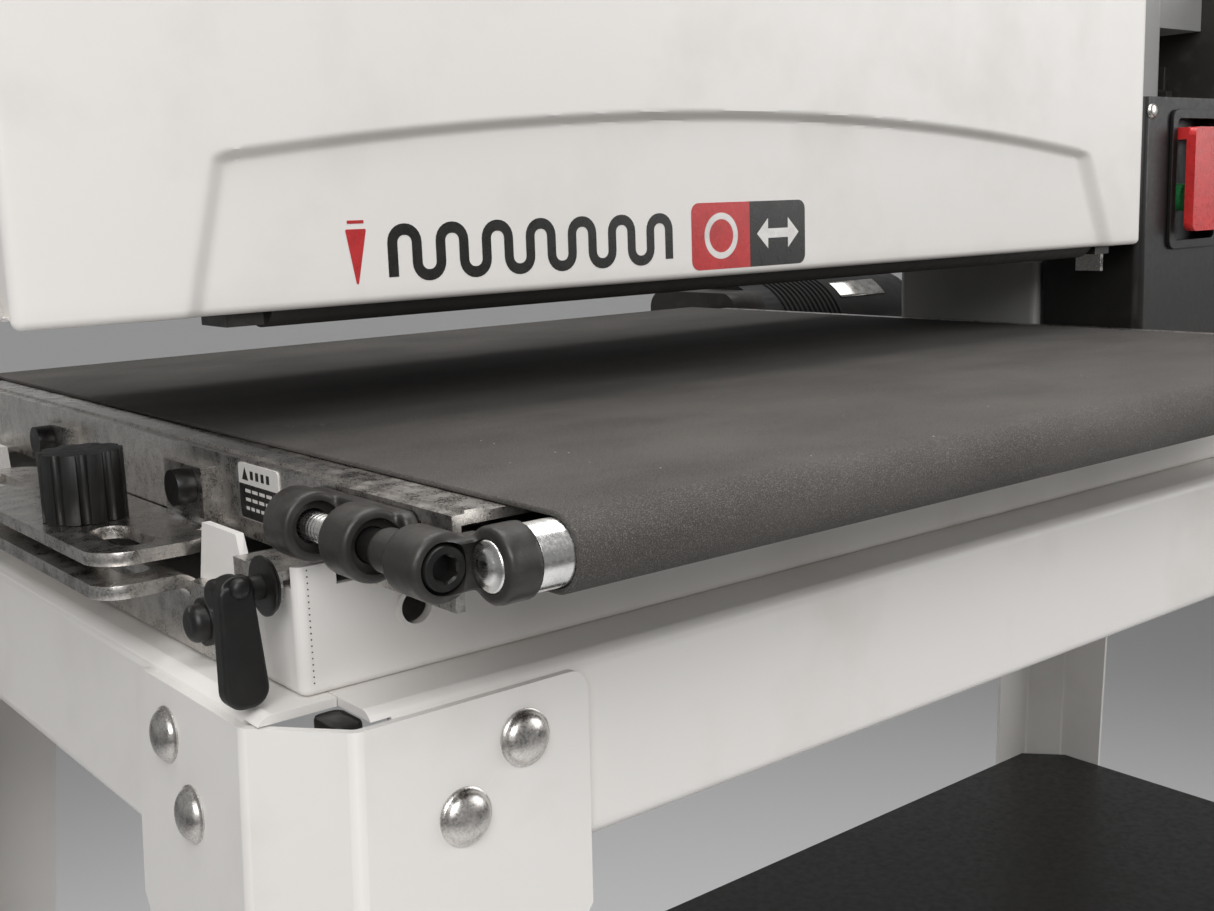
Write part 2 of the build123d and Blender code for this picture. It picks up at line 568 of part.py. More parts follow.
# ================================================================================================
# Conveyor table
# ================================================================================================
with BuildPart() as table_bed:
    half = [(TABLE_LEFT, TABLE_BOTTOM), (TABLE_LEFT, -1.5), (-0.6, -1.5), (-0.6, -1.8)]
    inner = [(-0.6, -4.2), (TABLE_LEFT + TABLE_SHEET, -4.2), (TABLE_LEFT + TABLE_SHEET, TABLE_BOTTOM)]
    right = [(BELT_WIDTH - x, z) for x, z in reversed(half)]
    right_inner = [(BELT_WIDTH - x, z) for x, z in reversed(inner)]
    profile = outline(facing_front(TABLE_FRONT), half + right + right_inner + inner)
    extrude(profile, amount=-(TABLE_REAR - TABLE_FRONT))
    # a narrow raised bead runs along each edge strip
    for x in (TABLE_LEFT + 6.5, BELT_WIDTH - TABLE_LEFT - 6.5):
        block((x - 3, x + 3), (TABLE_FRONT, TABLE_REAR), (-2, -0.7))
    # lock tabs step out from the side wall and hang outside the base wall
    for y in ((58.5, 84), (mirror_y(84), mirror_y(58.5))):
        block((-33.5, TABLE_LEFT + 1), y, (TABLE_BOTTOM, TABLE_BOTTOM + TABLE_SHEET))
        block((-33.5, -31.5), y, (-31, TABLE_BOTTOM + 1))
    for y in (LEVER_Y, mirror_y(LEVER_Y)):
        rod_x((-35, -30.5), y, LEVER_PIVOT_Z, LEVER_STUD_RADIUS + 2 * RUNNING_GAP, Mode.SUBTRACT)
    for x in ((TABLE_LEFT - 1, TABLE_LEFT + 4), (TABLE_RIGHT - 4, TABLE_RIGHT + 1)):
        for y in UPPER_BOLTS_Y:
            rod_x(x, y, BRACKET_BOLT_Z, 3 + RUNNING_GAP, Mode.SUBTRACT)
    # ears with the pins that the table tilts on
    for y in ((90.5, 94.5), (mirror_y(94.5), mirror_y(90.5))):
        block((TABLE_RIGHT - 1, PIVOT_X + 5), y, (TABLE_BOTTOM - 3, PIVOT_Z + 8))
    for y in ((PIVOT_POSTS[0][0] - 1, 94.5), (mirror_y(94.5), PIVOT_POSTS[1][1] + 1)):
        rod_y(PIVOT_X, y, PIVOT_Z, PIVOT_RADIUS)
save(table_bed, "table_bed")

with BuildPart() as conveyor_belt:
    with BuildSketch(facing_right(0)):
        with Locations(((IDLER_Y + DRIVE_Y) / 2, ROLLER_Z)):
            SlotCenterToCenter(DRIVE_Y - IDLER_Y, 2 * BELT_RADIUS)
            SlotCenterToCenter(DRIVE_Y - IDLER_Y, 2 * (BELT_RADIUS - BELT_THICKNESS), mode=Mode.SUBTRACT)
    extrude(amount=BELT_WIDTH)
save(conveyor_belt, "conveyor_belt")

with BuildPart() as idler_roller:
    rod_x((-8.7, BELT_WIDTH + 8.7), IDLER_Y, ROLLER_Z, ROLLER_RADIUS)
    rod_x((-17.7, BELT_WIDTH + 17.7), IDLER_Y, ROLLER_Z, ROLLER_SHAFT_RADIUS)
save(idler_roller, "idler_roller")

with BuildPart() as drive_roller:
    rod_x((-4, BELT_WIDTH + 4), DRIVE_Y, ROLLER_Z, ROLLER_RADIUS)
    rod_x((-17.7, BELT_WIDTH + 37), DRIVE_Y, ROLLER_Z, ROLLER_SHAFT_RADIUS)
save(drive_roller, "drive_roller")

TAKEUP_X = -26.0
TAKEUP_NOSE = 13.5
TAKEUP_BOSSES = ((18, 31), (48, 61))
TAKEUP_SIDES = {"left": (TAKEUP_X, 1), "right": (BELT_WIDTH - TAKEUP_X, -1)}


def make_takeup_block(x, inward):
    """Sliding bearing holder of the idler with its screw boss."""
    wall = x + inward * 8
    holder = sorted((wall, x + inward * 17))
    rod_x(holder, IDLER_Y, ROLLER_Z, 9.25)
    rod_y(x, (-12, 2), ROLLER_Z, 8.5)
    rod_y(x, (1, TAKEUP_NOSE), ROLLER_Z, 5.6)
    block(sorted((x, x + inward * 12)), (-14, -6), (ROLLER_Z - 6, ROLLER_Z + 6))
    rod_x((holder[0] - 1, holder[1] + 1), IDLER_Y, ROLLER_Z, ROLLER_SHAFT_RADIUS + RUNNING_GAP, Mode.SUBTRACT)
    rod_y(x, (-15, TAKEUP_NOSE + 1), ROLLER_Z, 4 + RUNNING_GAP, Mode.SUBTRACT)
    rod_y(x, (-15, -7), ROLLER_Z, 6, Mode.SUBTRACT)


def make_takeup_bracket(x, inward):
    """Fixed casting with two bosses, bolted to the table's side wall."""
    wall = TABLE_LEFT if inward > 0 else TABLE_RIGHT
    for y in TAKEUP_BOSSES:
        rod_y(x, y, ROLLER_Z, 9.5)
        block(sorted((x, wall)), y, (ROLLER_Z - 6, ROLLER_Z + 5))
    block(sorted((wall - inward * 4, wall)), (15, 65), (ROLLER_Z - 8, ROLLER_Z + 7))
    rod_y(x, (14, 66), ROLLER_Z, 4 + RUNNING_GAP, Mode.SUBTRACT)


def make_takeup_screw(x):
    """Socket-head screw through the holder and both bosses."""
    rod_y(x, (-12.5, -7.2), ROLLER_Z, 5.5)
    rod_y(x, (-9, 64.5), ROLLER_Z, 4)
    hex_y(x, (-14, -9.5), ROLLER_Z, 5, Mode.SUBTRACT)


with BuildPart() as takeup_blocks:
    for x, inward in TAKEUP_SIDES.values():
        make_takeup_block(x, inward)
save(takeup_blocks, "takeup_blocks")

with BuildPart() as takeup_brackets:
    for x, inward in TAKEUP_SIDES.values():
        make_takeup_bracket(x, inward)
save(takeup_brackets, "takeup_brackets")

for side, (x, inward) in TAKEUP_SIDES.items():
    with BuildPart() as takeup_screw:
        make_takeup_screw(x)
    save(takeup_screw, f"takeup_screw_{side}")

with BuildPart() as drive_bearings:
    for x in ((-17, -5), (BELT_WIDTH + 5, BELT_WIDTH + 17)):
        block(x, (TABLE_REAR, DRIVE_Y + 11), (ROLLER_Z - 9.5, ROLLER_Z + 8))
        rod_x((x[0] - 1, x[1] + 1), DRIVE_Y, ROLLER_Z, ROLLER_SHAFT_RADIUS + RUNNING_GAP, Mode.SUBTRACT)
save(drive_bearings, "drive_bearings")

with BuildPart() as gearbox:
    block((458, 486), (396, 480), (-74, 8))
    fillet(edges().filter_by(Axis.X), 12)
    rod_x((457, 480), DRIVE_Y, ROLLER_Z, ROLLER_SHAFT_RADIUS + RUNNING_GAP, Mode.SUBTRACT)
save(gearbox, "conveyor_gearbox")

with BuildPart() as gear_motor:
    rod_x(GEARMOTOR_X, GEARMOTOR_Y, GEARMOTOR_Z, GEARMOTOR_RADIUS)
    fillet(edges().group_by(Axis.X)[-1], 8)
save(gear_motor, "conveyor_motor")

UPPER_TAB = (134.0, 163.0)

with BuildPart() as bracket_upper:
    web, under = TABLE_LEFT - BRACKET_SHEET, UPPER_PLATE_Z - BRACKET_SHEET
    section = [(web, -6.5), (TABLE_LEFT, -6.5), (TABLE_LEFT, under), (-58, under), (-58, UPPER_PLATE_Z),
               (web, UPPER_PLATE_Z)]
    profile = outline(facing_front(UPPER_TAB[0]), section)
    extrude(profile, amount=-(mirror_y(UPPER_TAB[0]) - UPPER_TAB[0]))
    fillet(edge_along_y(TABLE_LEFT, under), BRACKET_BEND_RADIUS)
    fillet(edge_along_y(web, UPPER_PLATE_Z), BRACKET_BEND_RADIUS - BRACKET_SHEET)
    # only two tabs stand up against the wall
    open_y = (UPPER_TAB[1], mirror_y(UPPER_TAB[1]))
    block((web - 4, TABLE_LEFT + 1), open_y, (UPPER_PLATE_Z, 0), Mode.SUBTRACT)
    with BuildSketch(level(under)):
        with Locations((-39, MIDDLE_Y)):
            RectangleRounded(38, 2 * (MIDDLE_Y - 121), 12)
    extrude(amount=BRACKET_SHEET)
    for y in (144, mirror_y(144)):
        with BuildSketch(level(under - 1)):
            with Locations((-42, y)):
                SlotOverall(32, 12, rotation=90)
        extrude(amount=8, mode=Mode.SUBTRACT)
    rod_z(*KNOB_PLACE, (under - 1, UPPER_PLATE_Z + 1), 4.6, Mode.SUBTRACT)
    for y in UPPER_BOLTS_Y:
        rod_x((web - 1, TABLE_LEFT + 1), y, BRACKET_BOLT_Z, 3 + RUNNING_GAP, Mode.SUBTRACT)
save(bracket_upper, "alignment_bracket_upper")

with BuildPart() as bracket_bolts_upper:
    for y in UPPER_BOLTS_Y:
        rod_x((-26, -20.1), y, BRACKET_BOLT_Z, 5.6)
        rod_x((-21, -14), y, BRACKET_BOLT_Z, 3)
save(bracket_bolts_upper, "bracket_bolts_upper")

with BuildPart() as alignment_knob:
    with BuildSketch(level(UPPER_PLATE_Z + 0.2)):
        with Locations(KNOB_PLACE):
            Circle(13)
            with PolarLocations(13.5, 10):
                Circle(1.8, mode=Mode.SUBTRACT)
    extrude(amount=22)
    rod_z(*KNOB_PLACE, (-46, -10), 4)
save(alignment_knob, "alignment_knob")

LEVER_TIP_Z = BASE_BOTTOM + 1.2
LEVER_HANDLE = 5.0


def make_lock_lever(y):
    """Clamp lever: washers on the lock tab, a hub barrel and a flat handle hanging in front of it."""
    rod_x((-35.2, -33.6), y, LEVER_PIVOT_Z, 8)
    rod_x((-50, -35.2), y, LEVER_PIVOT_Z, 4.5)
    rod_x((-36, -31), y, LEVER_PIVOT_Z, LEVER_STUD_RADIUS)
    toward_front = -1 if y < MIDDLE_Y else 1
    near = y + toward_front * 2
    top = LEVER_PIVOT_Z + 4
    handle = [(-50.5, top), (-41, top), (-38, LEVER_TIP_Z), (-50.5, LEVER_TIP_Z)]
    profile = outline(facing_front(near), handle)
    extrude(profile, amount=-toward_front * LEVER_HANDLE)
    fillet(edges().filter_by(Axis.Y).group_by(Axis.Z)[0], 5)


for name, y in (("lock_lever_front", LEVER_Y), ("lock_lever_rear", mirror_y(LEVER_Y))):
    with BuildPart() as lock_lever:
        make_lock_lever(y)
    save(lock_lever, name)

# ================================================================================================
# Head: carriage, beam, drum and its drive
# ================================================================================================
YOKE_X = 614.0
FORK_HALF, FORK_WALL = 11.2, 2.0
STROKE = 4.0
ARM_Z = (158.0, 186.0)

with BuildPart() as head_carriage:
    block(CARRIAGE_X, (181, 268), CARRIAGE_Z)
    fillet(edges().filter_by(Axis.Z), 6)
    block((590, 642), (184, 262), ARM_Z)
    rod_z(YOKE_X, MIDDLE_Y, (ARM_Z[0] - 1, ARM_Z[1] + 1), 6, Mode.SUBTRACT)
    for x in POSTS_X:
        rod_z(x, POST_Y, (60, 190), POST_RADIUS + RUNNING_GAP, Mode.SUBTRACT)
    rod_z(SCREW_X, POST_Y, (60, 190), SCREW_RADIUS + RUNNING_GAP, Mode.SUBTRACT)
    rod_x((470, 600), MIDDLE_Y, DRUM_Z, 20, Mode.SUBTRACT)
save(head_carriage, "head_carriage")

with BuildPart() as head_beam:
    block((-20, 474), BEAM_Y, BEAM_Z)
    for x, y in ((OUTBOARD_PLATE, (124, 293)), (INBOARD_PLATE, (124, 293))):
        points = [(y[0], 66), (y[1], 66), (y[1], 110), (BEAM_Y[1], BEAM_Z[0] + 1), (BEAM_Y[0], BEAM_Z[0] + 1),
                  (y[0], 110)]
        profile = outline(facing_right(x[0]), points)
        extrude(profile, amount=x[1] - x[0])
        rod_x((x[0] - 1, x[1] + 1), MIDDLE_Y, DRUM_Z, 26 + 0.02, Mode.SUBTRACT)
        for roller_y in PRESSURE_Y.values():
            rod_z(sum(x) / 2, roller_y, (60, 90), 2.5 + RUNNING_GAP, Mode.SUBTRACT)
save(head_beam, "head_beam")

with BuildPart() as drum_bearings:
    for x in (OUTBOARD_PLATE, INBOARD_PLATE):
        rod_x(x, MIDDLE_Y, DRUM_Z, 26)
        rod_x((x[0] - 1, x[1] + 1), MIDDLE_Y, DRUM_Z, SHAFT_RADIUS + RUNNING_GAP, Mode.SUBTRACT)
save(drum_bearings, "drum_bearings")

with BuildPart() as end_plate:
    block((457.5, 460), (124, 293), (42, 166))
    rod_x((457, 461), MIDDLE_Y, DRUM_Z, 20, Mode.SUBTRACT)
    for y in (128, 289):
        rod_x((455, 458), y, 90, 4)
    block((457.5, 460), (131, 145), (27, 45))
save(end_plate, "head_end_plate")

with BuildPart() as rear_shroud:
    block((-70, 464), (295, 297), (42, 178))
    block((-70, 464), (262, 297), (176, 178))
    for x in (60, 380):
        block((x - 22, x - 11), (284, 297), (178, HINGE_Z + 5))
        block((x + 11, x + 22), (284, 297), (178, HINGE_Z + 5))
        rod_x((x - 25, x + 25), HINGE_Y, HINGE_Z, 3 + RUNNING_GAP, Mode.SUBTRACT)
save(rear_shroud, "rear_shroud")

with BuildPart() as hinge_pins:
    for x in (60, 380):
        rod_x((x - 23, x + 23), HINGE_Y, HINGE_Z, 3)
save(hinge_pins, "hinge_pins")

ARCH = [(-17, 86.6), (215, 101), (424.5, 85)]
with BuildPart() as dust_cover:
    # front wall: an outer skin with a shallow recessed panel under a gentle arch
    wall = [(COVER_LEFT, COVER_BOTTOM), (COVER_RIGHT, COVER_BOTTOM),
            (COVER_RIGHT, COVER_TOP), (COVER_LEFT, COVER_TOP)]
    profile = outline(facing_front(COVER_FRONT), wall)
    extrude(profile, amount=-(COVER_RECESS + COVER_SHEET - COVER_FRONT))
    with BuildSketch(facing_front(COVER_RECESS)):
        with BuildLine():
            Line((445.7, COVER_BOTTOM - 1), (-28.6, COVER_BOTTOM - 1))
            Line((-28.6, COVER_BOTTOM - 1), ARCH[0])
            ThreePointArc(*ARCH)
            Line(ARCH[2], (445.7, COVER_BOTTOM - 1))
        make_face()
    extrude(amount=COVER_RECESS - COVER_FRONT + 0.5, taper=-45, mode=Mode.SUBTRACT)
    # top, left end and right lip
    block((COVER_LEFT, COVER_RIGHT), (COVER_FRONT, 281), (COVER_TOP - COVER_SHEET, COVER_TOP))
    block((COVER_LEFT, COVER_LEFT + COVER_SHEET), (COVER_FRONT, 281), (COVER_BOTTOM, COVER_TOP))
    block((COVER_RIGHT - 8, COVER_RIGHT), (COVER_FRONT, 128), (COVER_BOTTOM + 2, COVER_TOP))
    fillet(edges().filter_by(Axis.X).group_by(Axis.Y)[0].group_by(Axis.Z)[-1], 14)
    # hinge ears
    for x in (60, 380):
        block((x - 10, x + 10), (270, HINGE_Y), (COVER_TOP - COVER_SHEET, COVER_TOP))
        rod_x((x - 10, x + 10), HINGE_Y, HINGE_Z, 6)
        rod_x((x - 11, x + 11), HINGE_Y, HINGE_Z, 3 + RUNNING_GAP, Mode.SUBTRACT)
    rod_z(197, 215, (COVER_TOP - 4, COVER_TOP + 1), DUST_PORT_RADIUS - 2, Mode.SUBTRACT)
    rod_x((COVER_LEFT - 1, COVER_LEFT + 3), 150, 120, 4 + RUNNING_GAP, Mode.SUBTRACT)
save(dust_cover, "dust_cover")

with BuildPart() as dust_port:
    rod_z(197, 215, (COVER_TOP, COVER_TOP + 50), DUST_PORT_RADIUS)
    rod_z(197, 215, (COVER_TOP, COVER_TOP + 3), DUST_PORT_RADIUS + 12)
    rod_z(197, 215, (COVER_TOP - 1, COVER_TOP + 51), DUST_PORT_RADIUS - 2, Mode.SUBTRACT)
save(dust_port, "dust_port")

with BuildPart() as cover_latch:
    rod_x((COVER_LEFT - 16, COVER_LEFT - 0.5), 150, 120, 13)
    rod_x((COVER_LEFT - 2, COVER_LEFT + 6), 150, 120, 4)
    block((COVER_LEFT + 2.5, COVER_LEFT + 5), (146, 154), (106, 126))
save(cover_latch, "cover_latch_knob")

with BuildPart() as drum_core:
    rod_x((DRUM_LEFT, DRUM_RIGHT), MIDDLE_Y, DRUM_Z, DRUM_RADIUS - WRAP_THICKNESS)
    rod_x((DRUM_LEFT + 6, DRUM_RIGHT - 6), MIDDLE_Y, DRUM_Z, DRUM_RADIUS - WRAP_THICKNESS - 6, Mode.SUBTRACT)
    rod_x((DRUM_LEFT - 1, DRUM_RIGHT + 1), MIDDLE_Y, DRUM_Z, SHAFT_RADIUS, Mode.SUBTRACT)
save(drum_core, "drum_core")

with BuildPart() as abrasive_wrap:
    rod_x((DRUM_LEFT, DRUM_RIGHT), MIDDLE_Y, DRUM_Z, DRUM_RADIUS)
    rod_x((DRUM_LEFT - 1, DRUM_RIGHT + 1), MIDDLE_Y, DRUM_Z, DRUM_RADIUS - WRAP_THICKNESS, Mode.SUBTRACT)
save(abrasive_wrap, "abrasive_wrap")

with BuildPart() as drum_shaft:
    rod_x((-18, 634), MIDDLE_Y, DRUM_Z, SHAFT_RADIUS)
    for x in ((YOKE_X - 8, YOKE_X - 3.5), (YOKE_X + 3.5, YOKE_X + 8)):
        rod_x(x, MIDDLE_Y, DRUM_Z, 17)
save(drum_shaft, "drum_shaft")

with BuildPart() as yoke:
    block((YOKE_X - 3, YOKE_X + 3), (MIDDLE_Y - 22, MIDDLE_Y + 22), (78, 123))
    fillet(edges().filter_by(Axis.X).group_by(Axis.Z)[0], 12)
    rod_x((YOKE_X - 4, YOKE_X + 4), MIDDLE_Y, DRUM_Z, SHAFT_RADIUS + RUNNING_GAP, Mode.SUBTRACT)
    reach = FORK_HALF + FORK_WALL
    block((YOKE_X - reach, YOKE_X + reach), (MIDDLE_Y - 12, MIDDLE_Y + 12), (121, 125))
    for side in (-1, 1):
        wall = sorted((YOKE_X + side * FORK_HALF, YOKE_X + side * reach))
        block(wall, (MIDDLE_Y - 12, MIDDLE_Y + 12), (124, 138))
save(yoke, "oscillation_yoke")

with BuildPart() as oscillation_motor:
    rod_z(YOKE_X, MIDDLE_Y, (ARM_Z[1], ARM_Z[1] + 5), 24)
    rod_z(YOKE_X, MIDDLE_Y, (ARM_Z[1] + 5, ARM_Z[1] + 52), 19)
    fillet(edges().group_by(Axis.Z)[-1], 4)
    rod_z(YOKE_X, MIDDLE_Y, (ARM_Z[1] - 1, ARM_Z[1] + 16), 4 + RUNNING_GAP, Mode.SUBTRACT)
save(oscillation_motor, "oscillation_motor")

with BuildPart() as eccentric_disc:
    rod_z(YOKE_X, MIDDLE_Y, (146, 152), 9)
    rod_z(YOKE_X, MIDDLE_Y, (152, ARM_Z[1] + 14), 4)
    rod_z(YOKE_X, MIDDLE_Y + STROKE, (129, 146), 2.5)
save(eccentric_disc, "eccentric_disc")

with BuildPart() as motor_mount:
    block((642, 650), (MIDDLE_Y - 80, MIDDLE_Y + 80), (22, 186))
    fillet(edges().filter_by(Axis.X), 10)
    rod_x((641, 651), MIDDLE_Y, DRUM_Z, 22, Mode.SUBTRACT)
save(motor_mount, "motor_mount")

with BuildPart() as motor_coupling:
    rod_x((627, 648), MIDDLE_Y, DRUM_Z, 19)
    rod_x((626, 643), MIDDLE_Y, DRUM_Z, SHAFT_RADIUS + RUNNING_GAP, Mode.SUBTRACT)
    rod_x((648, 690), MIDDLE_Y, DRUM_Z, 9)
save(motor_coupling, "motor_coupling")

with BuildPart() as drum_motor:
    rod_x(MOTOR_X, MIDDLE_Y, DRUM_Z, MOTOR_RADIUS)
    fillet(edges().group_by(Axis.X)[-1], 6)
    rod_x((MOTOR_X[0] - 1, 695), MIDDLE_Y, DRUM_Z, 9 + RUNNING_GAP, Mode.SUBTRACT)
save(drum_motor, "drum_motor")

with BuildPart() as fan_cover:
    rod_x((MOTOR_X[1], MOTOR_X[1] + 26), MIDDLE_Y, DRUM_Z, MOTOR_RADIUS - 2)
    fillet(edges().group_by(Axis.X)[-1], 9)
save(fan_cover, "motor_fan_cover")

# ================================================================================================
# Pressure rollers
# ================================================================================================
SPRING_RADIUS, SPRING_WIRE, SPRING_TURNS = 4.4, 0.6, 4
BLOCK_TOP = 56.0
PLATE_BOTTOM = 66.0

for name, roller_y in PRESSURE_Y.items():
    with BuildPart() as roller_blocks:
        for x in (OUTBOARD_PLATE, INBOARD_PLATE):
            block(x, (roller_y - 9, roller_y + 9), (36, BLOCK_TOP))
            rod_x((x[0] - 1, x[1] + 1), roller_y, PRESSURE_Z, 5 + RUNNING_GAP, Mode.SUBTRACT)
            rod_z(sum(x) / 2, roller_y, (BLOCK_TOP - 1, 84), 2.5)
    save(roller_blocks, f"{name}_roller_blocks")

    with BuildPart() as pressure_roller:
        rod_x((3, 440), roller_y, PRESSURE_Z, PRESSURE_RADIUS)
        rod_x((-11, 454), roller_y, PRESSURE_Z, 5)
    save(pressure_roller, f"{name}_pressure_roller")

    with BuildPart() as springs:
        for x in (OUTBOARD_PLATE, INBOARD_PLATE):
            pitch = (PLATE_BOTTOM - BLOCK_TOP - 2 * SPRING_WIRE) / SPRING_TURNS
            with BuildLine() as coil:
                Helix(pitch, pitch * SPRING_TURNS, SPRING_RADIUS,
                      center=at(sum(x) / 2, roller_y, BLOCK_TOP + SPRING_WIRE))
            with BuildSketch(Plane(origin=coil.line @ 0, z_dir=coil.line % 0)):
                Circle(SPRING_WIRE)
            sweep(path=coil.line)
    save(springs, f"{name}_springs")

# ================================================================================================
# Height adjustment
# ================================================================================================
with BuildPart() as lead_screw:
    rod_z(SCREW_X, POST_Y, (COLUMN_TOP - 19, CAP_Z[1] + 22), SCREW_RADIUS)
save(lead_screw, "lead_screw")

CRANK_Z = CAP_Z[1] + 8
with BuildPart() as crank:
    rod_z(SCREW_X, POST_Y, (CRANK_Z - 6, CRANK_Z + 12), 15)
    block((SCREW_X, SCREW_X + CRANK_RADIUS), (POST_Y - 8, POST_Y + 8), (CRANK_Z, CRANK_Z + 8))
    rod_z(SCREW_X + CRANK_RADIUS, POST_Y, (CRANK_Z, CRANK_Z + 8), 8)
    rod_z(SCREW_X + CRANK_RADIUS, POST_Y, (CRANK_Z, CRANK_Z + 60), 4)
    rod_z(SCREW_X, POST_Y, (CRANK_Z - 7, CAP_Z[1] + 22), SCREW_RADIUS, Mode.SUBTRACT)
save(crank, "crank_handle")

with BuildPart() as crank_knob:
    with BuildSketch(facing_front(POST_Y)):
        with BuildLine():
            base = (SCREW_X + CRANK_RADIUS, CRANK_Z + 9)
            Polyline((base[0] + 4.1, base[1]), (base[0] + 9, base[1]))
            ThreePointArc((base[0] + 9, base[1]), (base[0] + 13, base[1] + 30), (base[0] + 8, base[1] + 56))
            Polyline((base[0] + 8, base[1] + 56), (base[0] + 4.1, base[1] + 56), (base[0] + 4.1, base[1]))
        make_face()
    revolve(axis=Axis(at(SCREW_X + CRANK_RADIUS, POST_Y, 0), (0, 0, 1)))
save(crank_knob, "crank_knob")
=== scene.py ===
"""Looks of an open-end oscillating drum sander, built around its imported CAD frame.

Lengths given to the helpers are machine millimetres: X runs along the drum from its open end, Y from
the infeed to the outfeed side and Z up from the belt's working surface. at() turns them into metres
in the row frame.
"""
import json
from math import atan2, cos, hypot, pi, radians, sin, tan

import bmesh
import bpy
from mathutils import Matrix, Vector


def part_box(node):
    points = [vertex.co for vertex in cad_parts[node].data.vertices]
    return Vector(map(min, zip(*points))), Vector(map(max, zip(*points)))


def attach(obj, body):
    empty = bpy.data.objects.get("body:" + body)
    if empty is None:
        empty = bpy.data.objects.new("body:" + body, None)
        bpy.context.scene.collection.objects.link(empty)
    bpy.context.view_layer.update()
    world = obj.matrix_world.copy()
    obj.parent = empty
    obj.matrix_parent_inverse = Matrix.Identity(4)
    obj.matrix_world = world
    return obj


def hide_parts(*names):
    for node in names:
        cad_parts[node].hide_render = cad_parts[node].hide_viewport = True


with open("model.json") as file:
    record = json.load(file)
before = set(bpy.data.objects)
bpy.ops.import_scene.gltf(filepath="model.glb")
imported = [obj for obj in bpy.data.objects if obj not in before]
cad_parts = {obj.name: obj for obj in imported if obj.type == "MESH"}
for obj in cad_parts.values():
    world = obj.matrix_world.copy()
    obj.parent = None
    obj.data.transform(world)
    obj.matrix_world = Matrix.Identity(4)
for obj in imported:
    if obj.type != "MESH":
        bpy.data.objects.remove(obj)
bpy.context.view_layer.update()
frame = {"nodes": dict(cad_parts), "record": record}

# --- Places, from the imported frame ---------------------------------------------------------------
MM = 0.001
belt_low, belt_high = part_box("conveyor_belt")
BELT_RADIUS = 10.0
BELT_WIDTH = (belt_high.x - belt_low.x) / MM
IDLER_Y = -17.5
DRIVE_Y = (belt_high.y - belt_low.y) / MM - 2 * BELT_RADIUS + IDLER_Y
DATUM = Vector((belt_low.x, belt_low.y + (BELT_RADIUS - IDLER_Y) * MM, belt_high.z))
MIDDLE_Y = 208.5  # the drum's axis
STAND_MIDDLE_X = 377
TAKEUP_X, ROLLER_Z = -26.0, -10.0
TABLE_LEFT = -16.0
MOTOR_AXIS_Z = 100.0
GEAR_MOTOR_Y, GEAR_MOTOR_Z = 436, -32


def at(x, y, z):
    """Row coordinates, in metres, of a point in machine millimetres."""
    return DATUM + Vector((x, y, z)) * MM


def machine(point):
    """Machine millimetres of a point in row metres."""
    return (Vector(point) - DATUM) / MM


# --- Camera and light ----------------------------------------------------------------------------
CAMERA_PLACE, CAMERA_LENS = (-188.2, -273.6, 68.6), 42.08
CAMERA_HEADING, CAMERA_DIP, CAMERA_ROLL = -38.66, 10.07, -1.897


def make_camera():
    """Close view of the infeed corner from the front left."""
    data = bpy.data.cameras.new("camera")
    data.sensor_width, data.lens = 36.0, CAMERA_LENS
    data.clip_start, data.clip_end = 0.01, 60
    camera = bpy.data.objects.new("camera", data)
    bpy.context.scene.collection.objects.link(camera)
    heading = Matrix.Rotation(radians(CAMERA_HEADING), 4, "Z")
    dip = Matrix.Rotation(radians(90 - CAMERA_DIP), 4, "X")
    roll = Matrix.Rotation(radians(CAMERA_ROLL), 4, "Z")
    camera.matrix_world = Matrix.Translation(at(*CAMERA_PLACE)) @ (heading @ dip) @ roll
    bpy.context.scene.camera = camera


def add_softbox(name, place, target, size, power):
    """Square area light facing a target."""
    data = bpy.data.lights.new(name, "AREA")
    data.shape, data.size, data.energy = "SQUARE", size, power
    light = bpy.data.objects.new(name, data)
    bpy.context.scene.collection.objects.link(light)
    direction = Vector(target) - Vector(place)
    facing = direction.to_track_quat("-Z", "Y").to_matrix().to_4x4()
    light.matrix_world = Matrix.Translation(place) @ facing


def make_studio():
    """Round pale cyclorama, a bright even sky and three softboxes."""
    wall = [(4.6, 0.0), (5.2, 0.06), (5.6, 0.25), (5.85, 0.6), (5.95, 1.2), (6.0, 2.6)]
    steps = 96
    points = [(0.0, 0.0, 0.0)]
    faces = []
    for radius, height in wall:
        points += [(x, y, height) for x, y in circle(0, 0, radius, steps)]
    for k in range(steps):
        faces.append((0, 1 + k, 1 + (k + 1) % steps))
    for ring in range(len(wall) - 1):
        for k in range(steps):
            a, b = 1 + ring * steps + k, 1 + ring * steps + (k + 1) % steps
            faces.append((a, b, b + steps, a + steps))
    mesh = bpy.data.meshes.new("cyclorama")
    mesh.from_pydata(points, [], faces)
    mesh.shade_smooth()
    floor = bpy.data.objects.new("cyclorama", mesh)
    bpy.context.scene.collection.objects.link(floor)
    paint = bpy.data.materials.new("cyclorama")
    paint.use_nodes = True
    shader = paint.node_tree.nodes["Principled BSDF"]
    shader.inputs["Base Color"].default_value = (0.86, 0.86, 0.86, 1)
    shader.inputs["Roughness"].default_value = 0.9
    mesh.materials.append(paint)
    world = bpy.data.worlds.new("studio")
    world.use_nodes = True
    world.node_tree.nodes["Background"].inputs["Color"].default_value = (1, 1, 1, 1)
    world.node_tree.nodes["Background"].inputs["Strength"].default_value = 0.30
    bpy.context.scene.world = world
    bpy.context.scene.view_settings.view_transform = "Standard"
    middle = at(150, 60, 0)
    add_softbox("key_light", at(-900, -1100, 1000), middle, 1.2, 24)
    add_softbox("top_light", at(200, 200, 1500), middle, 1.4, 21)
    add_softbox("side_light", at(1500, -900, 500), middle, 0.9, 9)


